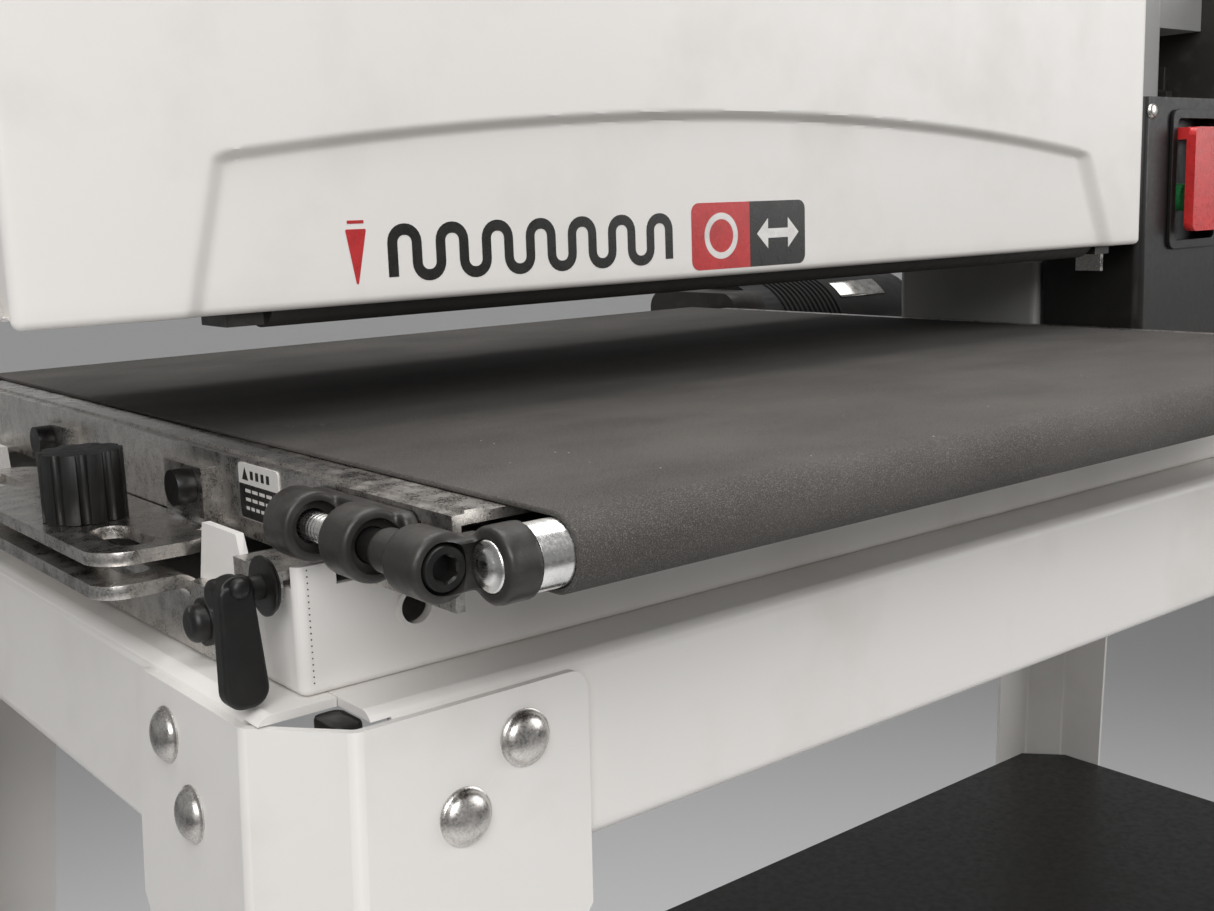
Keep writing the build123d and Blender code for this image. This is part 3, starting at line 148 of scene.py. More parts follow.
# --- Materials -----------------------------------------------------------------------------------
class Recipe:
    """A Principled material whose textures use the object's own coordinates."""

    def __init__(self, name, roughness=0.5, metallic=0.0, color=(0.5, 0.5, 0.5), **sockets):
        self.material = bpy.data.materials.new(name)
        self.material.use_nodes = True
        self.tree = self.material.node_tree
        self.shader = self.tree.nodes["Principled BSDF"]
        self.coordinates = self.tree.nodes.new("ShaderNodeTexCoord").outputs["Object"]
        self.set("Base Color", (*color, 1))
        self.set("Roughness", roughness)
        self.set("Metallic", metallic)
        for socket, value in sockets.items():
            self.set(socket.replace("_", " "), value)

    def set(self, socket, value):
        self.shader.inputs[socket].default_value = value

    def link(self, output, socket):
        self.tree.links.new(output, self.shader.inputs[socket])

    def stretched(self, stretch):
        """The object's coordinates, scaled by axis."""
        node = self.tree.nodes.new("ShaderNodeMapping")
        node.inputs["Scale"].default_value = stretch
        self.tree.links.new(self.coordinates, node.inputs["Vector"])
        return node.outputs["Vector"]

    def noise(self, size, detail=3.0, stretch=(1, 1, 1), roughness=0.55):
        """Noise with blobs about size millimetres across."""
        node = self.tree.nodes.new("ShaderNodeTexNoise")
        node.inputs["Scale"].default_value = 1000 / size
        node.inputs["Detail"].default_value = detail
        node.inputs["Roughness"].default_value = roughness
        self.tree.links.new(self.stretched(stretch), node.inputs["Vector"])
        return node.outputs["Fac"]

    def cells(self, size, feature="F1", output="Distance"):
        """Voronoi cells about size millimetres across."""
        node = self.tree.nodes.new("ShaderNodeTexVoronoi")
        node.feature = feature
        node.inputs["Scale"].default_value = 1000 / size
        self.tree.links.new(self.coordinates, node.inputs["Vector"])
        return node.outputs[output]

    def math(self, operation, a, b):
        """Arithmetic on an output and a number or another output."""
        node = self.tree.nodes.new("ShaderNodeMath")
        node.operation = operation
        for socket, value in zip(node.inputs, (a, b)):
            if isinstance(value, (int, float)):
                socket.default_value = value
            else:
                self.tree.links.new(value, socket)
        return node.outputs["Value"]

    def span(self, factor, low, high, start=0.0, end=1.0):
        """Factor between low and high mapped to start to end."""
        node = self.tree.nodes.new("ShaderNodeMapRange")
        for socket, value in (("From Min", low), ("From Max", high), ("To Min", start), ("To Max", end)):
            node.inputs[socket].default_value = value
        self.tree.links.new(factor, node.inputs["Value"])
        return node.outputs["Result"]

    def blend(self, factor, low, high):
        """Colour between low and high, each a colour or an output."""
        node = self.tree.nodes.new("ShaderNodeMix")
        node.data_type = "RGBA"
        self.tree.links.new(factor, node.inputs["Factor"])
        for name, value in (("A", low), ("B", high)):
            socket = next(s for s in node.inputs if s.name == name and s.type == "RGBA")
            if isinstance(value, tuple):
                socket.default_value = (*value, 1)
            else:
                self.tree.links.new(value, socket)
        return next(s for s in node.outputs if s.type == "RGBA")

    def bump(self, height, depth, strength=1.0):
        """Bump of a height in millimetres, added to any bump made before."""
        node = self.tree.nodes.new("ShaderNodeBump")
        node.inputs["Strength"].default_value = strength
        node.inputs["Distance"].default_value = depth * MM
        self.tree.links.new(height, node.inputs["Height"])
        earlier = self.shader.inputs["Normal"].links
        if earlier:
            self.tree.links.new(earlier[0].from_socket, node.inputs["Normal"])
        self.link(node.outputs["Normal"], "Normal")


def powder_coat(name, color, soiled):
    """Satin powder coat: orange peel, faint handling marks."""
    paint = Recipe(name, color=color, Specular_IOR_Level=0.42)
    smudge = paint.span(paint.noise(55, 5), 0.5, 0.72)
    paint.link(paint.blend(paint.math("MULTIPLY", smudge, 0.35), color, soiled), "Base Color")
    paint.link(paint.span(paint.noise(9, 4), 0.3, 0.7, 0.36, 0.46), "Roughness")
    paint.bump(paint.noise(1.6, 2), 0.016)
    return paint.material


def galvanised(name, light, dark, rough=(0.26, 0.48)):
    """Zinc plating: mottled patches, fine grain and drawing lines."""
    zinc = Recipe(name, metallic=1.0, color=light)
    patches = zinc.noise(7, 6, roughness=0.62)
    grain = zinc.noise(0.7, 3)
    mottling = zinc.math("ADD", zinc.math("MULTIPLY", patches, 0.6), zinc.math("MULTIPLY", grain, 0.4))
    zinc.link(zinc.blend(zinc.span(mottling, 0.36, 0.64), dark, light), "Base Color")
    zinc.link(zinc.span(mottling, 0.35, 0.65, *rough), "Roughness")
    zinc.bump(grain, 0.02)
    zinc.bump(zinc.noise(12, 3), 0.08)
    return zinc.material


def turned_steel(name, color, rough=(0.16, 0.34), stretch=(1, 0.04, 1)):
    """Turned or ground steel with fine marks along one axis and a few darker stains."""
    steel = Recipe(name, metallic=1.0, color=color)
    marks = steel.noise(0.9, 4, stretch)
    stain = steel.noise(14, 4)
    darker = tuple(0.55 * c for c in color)
    steel.link(steel.blend(steel.span(stain, 0.5, 0.8), color, darker), "Base Color")
    steel.link(steel.span(marks, 0.3, 0.7, *rough), "Roughness")
    steel.bump(marks, 0.01)
    return steel.material


def black_finish(name, color, rough, grain, depth, scuff=0.25, metallic=0.0):
    """Black paint, oxide or plastic with a grain and slightly greyed rubbed patches."""
    black = Recipe(name, color=color, metallic=metallic, Specular_IOR_Level=0.45)
    rubbed = black.span(black.noise(11, 5), 0.52, 0.8)
    lighter = tuple(c * 1.8 + 0.006 for c in color)
    black.link(black.blend(black.math("MULTIPLY", rubbed, scuff * 2), color, lighter), "Base Color")
    black.link(black.span(black.noise(grain * 6, 3), 0.3, 0.7, *rough), "Roughness")
    black.bump(black.noise(grain, 2), depth)
    return black.material


def gloss_plastic(name, color):
    """Moulded plastic with a fine texture."""
    plastic = Recipe(name, color=color, Specular_IOR_Level=0.5)
    darker = tuple(0.8 * c for c in color)
    plastic.link(plastic.blend(plastic.span(plastic.noise(8, 3), 0.4, 0.7), color, darker), "Base Color")
    plastic.link(plastic.span(plastic.noise(3, 3), 0.3, 0.7, 0.24, 0.34), "Roughness")
    plastic.bump(plastic.noise(0.6, 2), 0.01)
    return plastic.material


def belt_cloth():
    """Abrasive cloth: fine mineral grain, faint pale dust in patches and sparse bright specks."""
    cloth = Recipe("belt_cloth", roughness=0.86, Specular_IOR_Level=0.3)
    grain = cloth.cells(0.36)
    fine = cloth.noise(0.36, 4, roughness=0.75)
    dusty = cloth.span(cloth.noise(45, 5, stretch=(0.6, 1, 1), roughness=0.6), 0.35, 0.75)
    base = cloth.blend(dusty, (0.050, 0.046, 0.042), (0.088, 0.081, 0.075))
    lit = cloth.blend(cloth.span(fine, 0.5, 0.78), base, (0.26, 0.245, 0.23))
    speck_shape = cloth.span(cloth.cells(5.0), 0.07, 0.035)
    chosen = cloth.span(cloth.noise(13, 1), 0.60, 0.64)
    cloth.link(cloth.blend(cloth.math("MULTIPLY", speck_shape, chosen), lit, (0.5, 0.48, 0.46)), "Base Color")
    cloth.bump(grain, 0.07)
    cloth.bump(fine, 0.04)
    return cloth.material


def abrasive_wrap():
    """Spiral-wound abrasive strip with a dark seam."""
    wrap = Recipe("abrasive", roughness=0.85, Specular_IOR_Level=0.3)
    wave = wrap.tree.nodes.new("ShaderNodeTexWave")
    wave.bands_direction = "X"
    wave.inputs["Scale"].default_value = 3.4
    wave.inputs["Distortion"].default_value = 0.0
    turned = wrap.tree.nodes.new("ShaderNodeMapping")
    turned.inputs["Rotation"].default_value = (0, 0, radians(12))
    wrap.tree.links.new(wrap.coordinates, turned.inputs["Vector"])
    wrap.tree.links.new(turned.outputs["Vector"], wave.inputs["Vector"])
    seam = wrap.span(wave.outputs["Fac"], 0.97, 0.995)
    fine = wrap.span(wrap.noise(0.5, 3), 0.4, 0.7)
    grit = wrap.blend(fine, (0.13, 0.050, 0.028), (0.25, 0.12, 0.07))
    wrap.link(wrap.blend(seam, grit, (0.02, 0.012, 0.01)), "Base Color")
    wrap.bump(wrap.cells(0.5), 0.12)
    return wrap.material


WHITE = (0.80, 0.775, 0.745)
MATERIALS = {
    "white_paint": powder_coat("white_paint", WHITE, (0.62, 0.59, 0.55)),
    "grey_paint": powder_coat("grey_paint", (0.33, 0.325, 0.32), (0.24, 0.235, 0.23)),
    "black_paint": black_finish("black_paint", (0.009, 0.0082, 0.0076), (0.32, 0.5), 0.9, 0.02),
    "cast_black": black_finish("cast_black", (0.026, 0.0235, 0.021), (0.3, 0.5), 0.7, 0.04, scuff=0.5),
    "black_plastic": black_finish("black_plastic", (0.008, 0.0072, 0.0066), (0.36, 0.5), 0.5, 0.03),
    "rubber": black_finish("rubber", (0.036, 0.033, 0.031), (0.55, 0.7), 0.7, 0.03),
    "zinc": galvanised("zinc", (0.80, 0.77, 0.735), (0.40, 0.38, 0.36), (0.2, 0.42)),
    "bright_steel": turned_steel("bright_steel", (0.80, 0.79, 0.77)),
    "spring_steel": turned_steel("spring_steel", (0.34, 0.34, 0.34)),
    "drum_aluminium": turned_steel("drum_aluminium", (0.78, 0.78, 0.78), (0.28, 0.4)),
    "belt_cloth": belt_cloth(),
    "abrasive": abrasive_wrap(),
    "red_plastic": gloss_plastic("red_plastic", (0.58, 0.03, 0.03)),
    "green_plastic": gloss_plastic("green_plastic", (0.04, 0.30, 0.09)),
}


def finish_cad_nodes():
    """Give every CAD node its slot's material and rounded, softly lit edges."""
    slots = {row["node"]: row["material_slot"] for row in frame["record"]["subparts"]}
    for name, node in frame["nodes"].items():
        node.data.materials.clear()
        node.data.materials.append(MATERIALS[slots[name]])
        weld = node.modifiers.new("weld", "WELD")
        weld.merge_threshold = 1e-5
        bevel = node.modifiers.new("bevel", "BEVEL")
        bevel.width, bevel.segments = 0.45 * MM, 2
        bevel.limit_method, bevel.angle_limit = "ANGLE", radians(38)
        bevel.harden_normals = True


# --- Mesh tools ----------------------------------------------------------------------------------
class Shape:
    """Points and faces of one piece, gathered in machine millimetres."""

    def __init__(self):
        self.points, self.faces = [], []

    def loft(self, rings, capped=True):
        """Skin through closed rings of equal length."""
        first, count = len(self.points), len(rings[0])
        for ring in rings:
            self.points += [tuple(p) for p in ring]
        for row in range(len(rings) - 1):
            for k in range(count):
                a, b = first + row * count + k, first + row * count + (k + 1) % count
                self.faces.append((a, b, b + count, a + count))
        if capped:
            last = first + (len(rings) - 1) * count
            self.faces.append(tuple(reversed(range(first, first + count))))
            self.faces.append(tuple(range(last, last + count)))
        return self

    def grid(self, rows):
        """Open sheet through rows of points."""
        first, count = len(self.points), len(rows[0])
        for row in rows:
            self.points += [tuple(p) for p in row]
        for r in range(len(rows) - 1):
            for k in range(count - 1):
                a = first + r * count + k
                self.faces.append((a, a + 1, a + 1 + count, a + count))
        return self

    def lathe(self, profile, origin, axis, steps=40):
        """Turned solid; the profile is (distance along the axis, radius)."""
        axis = Vector(axis).normalized()
        side = axis.orthogonal().normalized()
        up = axis.cross(side)
        angles = [2 * pi * k / steps for k in range(steps)]
        rings = []
        for along, radius in profile:
            centre = Vector(origin) + axis * along
            rings.append([centre + (side * cos(t) + up * sin(t)) * radius for t in angles])
        return self.loft(rings)

    def plate(self, outline, place, low, high, soften=0.0):
        """Plate between two depths; place(u, v, w) gives a machine point. Soften rounds its outer face."""
        layers = [(low, 0.0), (high, 0.0)]
        if soften:
            layers = [(low, soften), (low + 0.3 * soften, 0.3 * soften), (low + soften, 0.0), (high, 0.0)]
        return self.loft([[place(u, v, w) for u, v in shrunk(outline, inset)] for w, inset in layers])

    def box(self, x, y, z):
        """Box between two machine values on each axis."""
        corners = [(x[0], y[0]), (x[1], y[0]), (x[1], y[1]), (x[0], y[1])]
        return self.loft([[(a, b, height) for a, b in corners] for height in z])

    def mirrored(self):
        """The same shape on the other side of the drum's axis."""
        other = Shape()
        other.points = [(x, 2 * MIDDLE_Y - y, z) for x, y, z in self.points]
        other.faces = [tuple(reversed(face)) for face in self.faces]
        return other

    def opposite(self):
        """The same shape on the other side of the belt."""
        other = Shape()
        other.points = [(BELT_WIDTH - x, y, z) for x, y, z in self.points]
        other.faces = [tuple(reversed(face)) for face in self.faces]
        return other

    def join(self, other):
        """This shape and another one."""
        first = len(self.points)
        self.points += other.points
        self.faces += [tuple(first + k for k in face) for face in other.faces]
        return self


def shrunk(outline, inset):
    """An outline moved inward by an inset, along each corner's bisector."""
    if not inset:
        return outline
    count = len(outline)
    area = sum(outline[k - 1][0] * outline[k][1] - outline[k][0] * outline[k - 1][1] for k in range(count))
    sign = 1 if area > 0 else -1
    result = []
    for k in range(count):
        before, here, after = (Vector(outline[j]) for j in (k - 1, k, (k + 1) % count))
        along = (after - before).normalized()
        result.append((here.x - sign * along.y * inset, here.y + sign * along.x * inset))
    return result


def rounded(corners, radius, steps=6):
    """Closed outline with its corners rounded; radius is one value or one per corner."""
    radii = radius if isinstance(radius, (list, tuple)) else [radius] * len(corners)
    result = []
    for k, corner in enumerate(corners):
        here = Vector(corner)
        u = (Vector(corners[k - 1]) - here).normalized()
        v = (Vector(corners[(k + 1) % len(corners)]) - here).normalized()
        half = u.angle(v) / 2
        centre = here + (u + v).normalized() * radii[k] / sin(half)
        start = here + u * radii[k] / tan(half) - centre
        end = here + v * radii[k] / tan(half) - centre
        turn = (atan2(end.y, end.x) - atan2(start.y, start.x) + pi) % (2 * pi) - pi
        first = atan2(start.y, start.x)
        for step in range(steps + 1):
            angle = first + turn * step / steps
            result.append((centre.x + radii[k] * cos(angle), centre.y + radii[k] * sin(angle)))
    return result


def circle(u, v, radius, steps=32):
    """Closed round outline."""
    angles = [2 * pi * k / steps for k in range(steps)]
    return [(u + radius * cos(t), v + radius * sin(t)) for t in angles]


def on_front(y):
    """Plane facing the front at a machine Y; depth runs into the machine."""
    return lambda u, v, w: (u, y + w, v)


def on_left(x):
    """Plane facing left at a machine X; depth runs into the machine."""
    return lambda u, v, w: (x + w, u, v)


def add_piece(name, shape, body, slot, stands_for=(), material=None, sharp=35.0, bevel=0.0):
    """Object made from a shape, riding on a body and finished like a slot."""
    mesh = bpy.data.meshes.new(name)
    mesh.from_pydata([at(*p) for p in shape.points], [], shape.faces)
    work = bmesh.new()
    work.from_mesh(mesh)
    bmesh.ops.remove_doubles(work, verts=work.verts, dist=0.002 * MM)
    bmesh.ops.recalc_face_normals(work, faces=work.faces)
    work.to_mesh(mesh)
    work.free()
    mesh.shade_smooth()
    mesh.set_sharp_from_angle(angle=radians(sharp))
    mesh.materials.append(material or MATERIALS[slot])
    piece = bpy.data.objects.new(name, mesh)
    bpy.context.scene.collection.objects.link(piece)
    if bevel:
        edges = piece.modifiers.new("bevel", "BEVEL")
        edges.width, edges.segments = bevel * MM, 3
        edges.limit_method, edges.angle_limit = "ANGLE", radians(sharp)
        edges.harden_normals = True
    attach(piece, body)
    if stands_for:
        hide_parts(*stands_for)
    return piece


def bake_modifiers(piece, sharp=50.0):
    """Replace a piece's mesh by the mesh its modifiers give."""
    graph = bpy.context.evaluated_depsgraph_get()
    mesh = bpy.data.meshes.new_from_object(piece.evaluated_get(graph))
    piece.modifiers.clear()
    piece.data = mesh
    mesh.shade_smooth()
    mesh.set_sharp_from_angle(angle=radians(sharp))


def cast(piece, voxel, smoothing):
    """Blend a piece's overlapping solids into one casting with soft fillets."""
    remesh = piece.modifiers.new("remesh", "REMESH")
    remesh.mode, remesh.voxel_size = "VOXEL", voxel * MM
    smooth = piece.modifiers.new("smooth", "SMOOTH")
    smooth.factor, smooth.iterations = 0.5, smoothing
    bake_modifiers(piece, sharp=70)


def cut(piece, shape):
    """Take a shape, whose own solids may overlap, out of a piece."""
    cutter_mesh = bpy.data.meshes.new("cutter")
    cutter_mesh.from_pydata([at(*p) for p in shape.points], [], shape.faces)
    cutter = bpy.data.objects.new("cutter", cutter_mesh)
    bpy.context.scene.collection.objects.link(cutter)
    boolean = piece.modifiers.new("cut", "BOOLEAN")
    boolean.operation, boolean.object, boolean.solver = "DIFFERENCE", cutter, "EXACT"
    boolean.use_self = True
    bpy.context.view_layer.update()
    bake_modifiers(piece, sharp=35)
    bpy.data.objects.remove(cutter)


# --- Cover ---------------------------------------------------------------------------------------
COVER_FRONT, COVER_RECESS = 116.5, 120.0
COVER_LEFT, COVER_RIGHT = -75.0, 470.0
COVER_BOTTOM, COVER_TOP, COVER_REAR = 40.0, 190.0, 281.0
TOP_RADIUS, HEM_RADIUS, END_RADIUS = 14.0, 2.6, 3.0
PANEL_LEFT = ((-28.6, 40.0), (-17.0, 86.6))
PANEL_RIGHT = ((424.5, 85.0), (445.7, 40.0))
PANEL_ARCH = ((-17.0, 86.6), (215.0, 101.0), (424.5, 85.0))
PORT_PLACE, PORT_BORE = (197.0, 215.0), 48.8
LATCH_PLACE, LATCH_BORE = (150.0, 120.0), 4.0


def arch_circle(points):
    """Centre and radius of the circle through three points."""
    (ax, ay), (bx, by), (cx, cy) = points
    d = 2 * (ax * (by - cy) + bx * (cy - ay) + cx * (ay - by))
    a, b, c = ax * ax + ay * ay, bx * bx + by * by, cx * cx + cy * cy
    x = (a * (by - cy) + b * (cy - ay) + c * (ay - by)) / d
    y = (a * (cx - bx) + b * (ax - cx) + c * (bx - ax)) / d
    return x, y, hypot(ax - x, ay - y)


def ease(value):
    """Smooth step from 0 to 1."""
    value = min(max(value, 0.0), 1.0)
    return value * value * (3 - 2 * value)


ARCH_X, ARCH_Z, ARCH_RADIUS = arch_circle(PANEL_ARCH)


def inside_line(line, x, z):
    """Distance to the right of a line going up, or to the left of one going down."""
    (x0, z0), (x1, z1) = line
    run, rise = x1 - x0, z1 - z0
    return ((x - x0) * rise - (z - z0) * run) / hypot(run, rise)


def recess(x, z):
    """Depth of the pressed panel at a place on the cover's front."""
    left = ease(inside_line(PANEL_LEFT, x, z) / 8)
    right = ease(inside_line(PANEL_RIGHT, x, z) / 8)
    above = ease((ARCH_RADIUS - hypot(x - ARCH_X, z - ARCH_Z)) / 3.6)
    return (COVER_RECESS - COVER_FRONT) * left * right * above


def cover_path():
    """Cover's outer section from the bottom hem over the top to the rear: point and outward normal."""
    path = []
    for step in range(9):
        angle = radians(20 - 110 * step / 8 - 90)
        normal = (cos(angle), sin(angle))
        path.append((COVER_FRONT + HEM_RADIUS * (1 + normal[0]), COVER_BOTTOM + HEM_RADIUS * (1 + normal[1]),
                     normal))
    heights = [46, 50, 54, 58, 62, 66, 70, 74, 78, 81]
    heights += [82 + 0.9 * step for step in range(26)] + [108, 115, 124, 134, 144, 154, 164, 172]
    path += [(COVER_FRONT, z, (-1, 0)) for z in heights]
    for step in range(13):
        angle = radians(180 - 90 * step / 12)
        normal = (cos(angle), sin(angle))
        path.append((COVER_FRONT + TOP_RADIUS * (1 + normal[0]), COVER_TOP - TOP_RADIUS * (1 - normal[1]),
                     normal))
    path += [(y, COVER_TOP, (0, 1)) for y in (140, 170, 200, 230, 260, 278)]
    for step in range(7):
        angle = radians(90 - 90 * step / 6)
        normal = (cos(angle), sin(angle))
        path.append((COVER_REAR - END_RADIUS * (1 - normal[0]), COVER_TOP - END_RADIUS * (1 - normal[1]),
                     normal))
    return path


def cover_columns():
    """Machine X of the cover's columns, close together over the panel's slanted sides."""
    columns, x = [], COVER_LEFT + END_RADIUS
    while x < COVER_RIGHT - END_RADIUS:
        columns.append(x)
        x += 1.0 if -34 < x < -6 or 410 < x < 450 else 4.0
    return columns + [COVER_RIGHT - END_RADIUS]


def make_cover():
    """Pressed sheet cover with a shallow arched panel, rounded ends and hinge knuckles."""
    path = cover_path()

    def section(x, inset):
        """The path at one X, moved inward."""
        return [(x, y - n[0] * inset, z - n[1] * inset) for y, z, n in path]

    turns = [radians(90 * step / 5) for step in range(6)]
    rim = END_RADIUS + 1.0
    rows = [section(COVER_LEFT, rim)]
    for angle in turns[:0:-1]:
        rows.append(section(COVER_LEFT + END_RADIUS * (1 - sin(angle)), END_RADIUS * (1 - cos(angle))))
    for x in cover_columns():
        rows.append([(x, y + (recess(x, z) if n == (-1, 0) or z < COVER_BOTTOM + 5 else 0), z)
                     for y, z, n in path])
    for angle in turns[1:]:
        rows.append(section(COVER_RIGHT - END_RADIUS * (1 - sin(angle)), END_RADIUS * (1 - cos(angle))))
    shape = Shape().grid(rows)
    corner, middle = len(shape.points), len(shape.points) + 1
    shape.points += [(COVER_LEFT, COVER_REAR - rim, COVER_BOTTOM), (COVER_LEFT, 200, 115)]
    ring = [corner, *range(len(path))]
    shape.faces += [(middle, ring[k - 1], ring[k]) for k in range(len(ring))]
    cover = add_piece("cover_skin", shape, "dust_cover", "white_paint", ["dust_cover"], sharp=50)
    sheet = cover.modifiers.new("sheet", "SOLIDIFY")
    sheet.thickness, sheet.offset = 1.9 * MM, -1.0
    bore = Shape().lathe([(-12, PORT_BORE), (12, PORT_BORE)], (*PORT_PLACE, COVER_TOP), (0, 0, 1), 96)
    bore.join(Shape().lathe([(-6, LATCH_BORE), (8, LATCH_BORE)], (COVER_LEFT, *LATCH_PLACE), (1, 0, 0), 24))
    cut(cover, bore)
    lip = Shape()
    profile = rounded([(COVER_FRONT + 2, 43), (128, 43), (128, 186), (COVER_FRONT + 2, 186)], [2, 2, 6, 8])
    lip.plate(profile, lambda u, v, w: (COVER_RIGHT - 1.2 + w, u, v), 0, -2.0)
    add_piece("cover_end_lip", lip, "dust_cover", "white_paint", bevel=0.3)
    ears = Shape()
    for x in (60, 380):
        ears.loft([[(x + side, y, z) for y, z in ((262, 186.2), (262, 188.6), (290, 188.6), (290, 186.2))]
                   for side in (-10, 10)])
        ears.lathe([(-10, 5.2), (-9.4, 6), (9.4, 6), (10, 5.2)], (x, 292, 184), (1, 0, 0), 32)
    add_piece("cover_hinge_ears", ears, "dust_cover", "white_paint", bevel=0.3)


DECAL_FACE = COVER_RECESS - 0.12
DECAL_DEPTH = 0.35
BADGE_Z, ARROW_X = 55.2, 215.6


def decal(name, outlines, material, lift=0.0):
    """Printed film on the cover's panel."""
    shape = Shape()
    for outline in outlines:
        shape.plate(outline, on_front(DECAL_FACE - lift), 0, DECAL_DEPTH)
    add_piece(name, shape, "dust_cover", "white_paint", material=material)


def ribbon(path, width):
    """Outline of a stroke of even width along an open path."""
    left, right = [], []
    for k, point in enumerate(path):
        before, after = Vector(path[max(k - 1, 0)]), Vector(path[min(k + 1, len(path) - 1)])
        along = (after - before).normalized()
        left.append((point[0] - along.y * width / 2, point[1] + along.x * width / 2))
        right.append((point[0] + along.y * width / 2, point[1] - along.x * width / 2))
    return left + right[::-1]


def meander(x0, x1, low, high, bars, radius):
    """Centre line of upright bars joined alternately at the top and the bottom by round turns."""
    pitch = (x1 - x0) / (bars - 1)
    points = []
    for bar in range(bars):
        x, rising = x0 + bar * pitch, bar % 2 == 0
        start, end = (low, high) if rising else (high, low)
        points.append((x, start if bar == 0 else start + (radius if rising else -radius)))
        if bar == bars - 1:
            points.append((x, end))
            break
        points.append((x, end - (radius if rising else -radius)))
        sign = 1 if rising else -1
        for turn in range(1, 7):
            angle = pi / 2 * turn / 6
            points.append((x + radius * (1 - cos(angle)), end - sign * radius * (1 - sin(angle))))
        for turn in range(6):
            angle = pi / 2 * turn / 6
            points.append((x + pitch - radius * (1 - sin(angle)), end - sign * radius * (1 - cos(angle))))
    return points


def make_decals():
    """Generic marks where the real cover is printed: a pointer, a wave band and a two-colour badge."""
    ink = gloss_plastic("print_black", (0.012, 0.011, 0.010))
    red = gloss_plastic("print_red", (0.52, 0.030, 0.032))
    pale = gloss_plastic("print_white", (0.78, 0.76, 0.73))
    decal("mark_pointer", [rounded([(26.6, 63.3), (29.9, 44.7), (33.9, 63.3)], 0.4, 3),
                           rounded([(27.4, 66.0), (27.4, 65.0), (33.2, 65.0), (33.2, 66.0)], 0.2, 3)], red)
    decal("mark_wave", [ribbon(meander(43, 159, 47.9, 62.7, 14, 4.2), 3.6)], ink)
    left_half = rounded([(170.2, 67.6), (170.2, 42.8), (200.3, 42.8), (200.3, 67.6)], [3.6, 3.6, 0.05, 0.05])
    right_half = rounded([(200.4, 67.6), (200.4, 42.8), (230.8, 42.8), (230.8, 67.6)], [0.05, 0.05, 3.6, 3.6])
    decal("badge_left", [left_half], red)
    decal("badge_right", [right_half], ink)
    ring = Shape()
    near, far = DECAL_FACE - 0.06, DECAL_FACE + 0.2
    section = [[(p[0], near, p[1]), (q[0], near, q[1]), (q[0], far, q[1]), (p[0], far, p[1])]
               for p, q in zip(circle(185.2, BADGE_Z, 6.2, 48), circle(185.2, BADGE_Z, 8.6, 48))]
    ring.loft(section + section[:1], capped=False)
    add_piece("badge_ring", ring, "dust_cover", "white_paint", material=pale)
    half_arrow = ((11.5, 0), (5.5, 5.8), (5.5, 1.8), (0.01, 1.8), (0.01, -1.8), (5.5, -1.8), (5.5, -5.8))
    arrow = [[(ARROW_X + sign * u, BADGE_Z + v) for u, v in half_arrow] for sign in (-1, 1)]
    decal("badge_arrow", arrow, pale, lift=0.06)


# --- Conveyor ------------------------------------------------------------------------------------
def make_belt():
    """Endless abrasive belt as one smooth loop with soft edges."""
    inner = BELT_RADIUS - 1.5
    section = [(0.3, BELT_RADIUS), (0, BELT_RADIUS - 0.3), (0, inner + 0.2), (0.2, inner),
               (BELT_WIDTH - 0.2, inner), (BELT_WIDTH, inner + 0.2), (BELT_WIDTH, BELT_RADIUS - 0.3),
               (BELT_WIDTH - 0.3, BELT_RADIUS)]
    stations = [(IDLER_Y, radians(180 + 180 * k / 36)) for k in range(37)]
    stations += [(DRIVE_Y, radians(180 * k / 36)) for k in range(37)]
    rings = []
    for y, angle in stations + stations[:1]:
        rings.append([(x, y + r * sin(angle), -BELT_RADIUS + r * cos(angle)) for x, r in section])
    add_piece("belt_loop", Shape().loft(rings, capped=False), "table", "belt_cloth", ["conveyor_belt"],
              sharp=60)


TAKEUP_BOSSES = ((18, 31), (48, 61))
HOLDER_BORE = 4.5
THREAD_PITCH = 1.75


def boss(y0, y1, radius):
    """Round boss along Y with softened ends."""
    profile = [(0, radius - 1), (0.4, radius - 0.3), (1.2, radius), (y1 - y0 - 1, radius),
               (y1 - y0, radius - 0.8)]
    return Shape().lathe(profile, (TAKEUP_X, y0, ROLLER_Z), (0, 1, 0), 48)


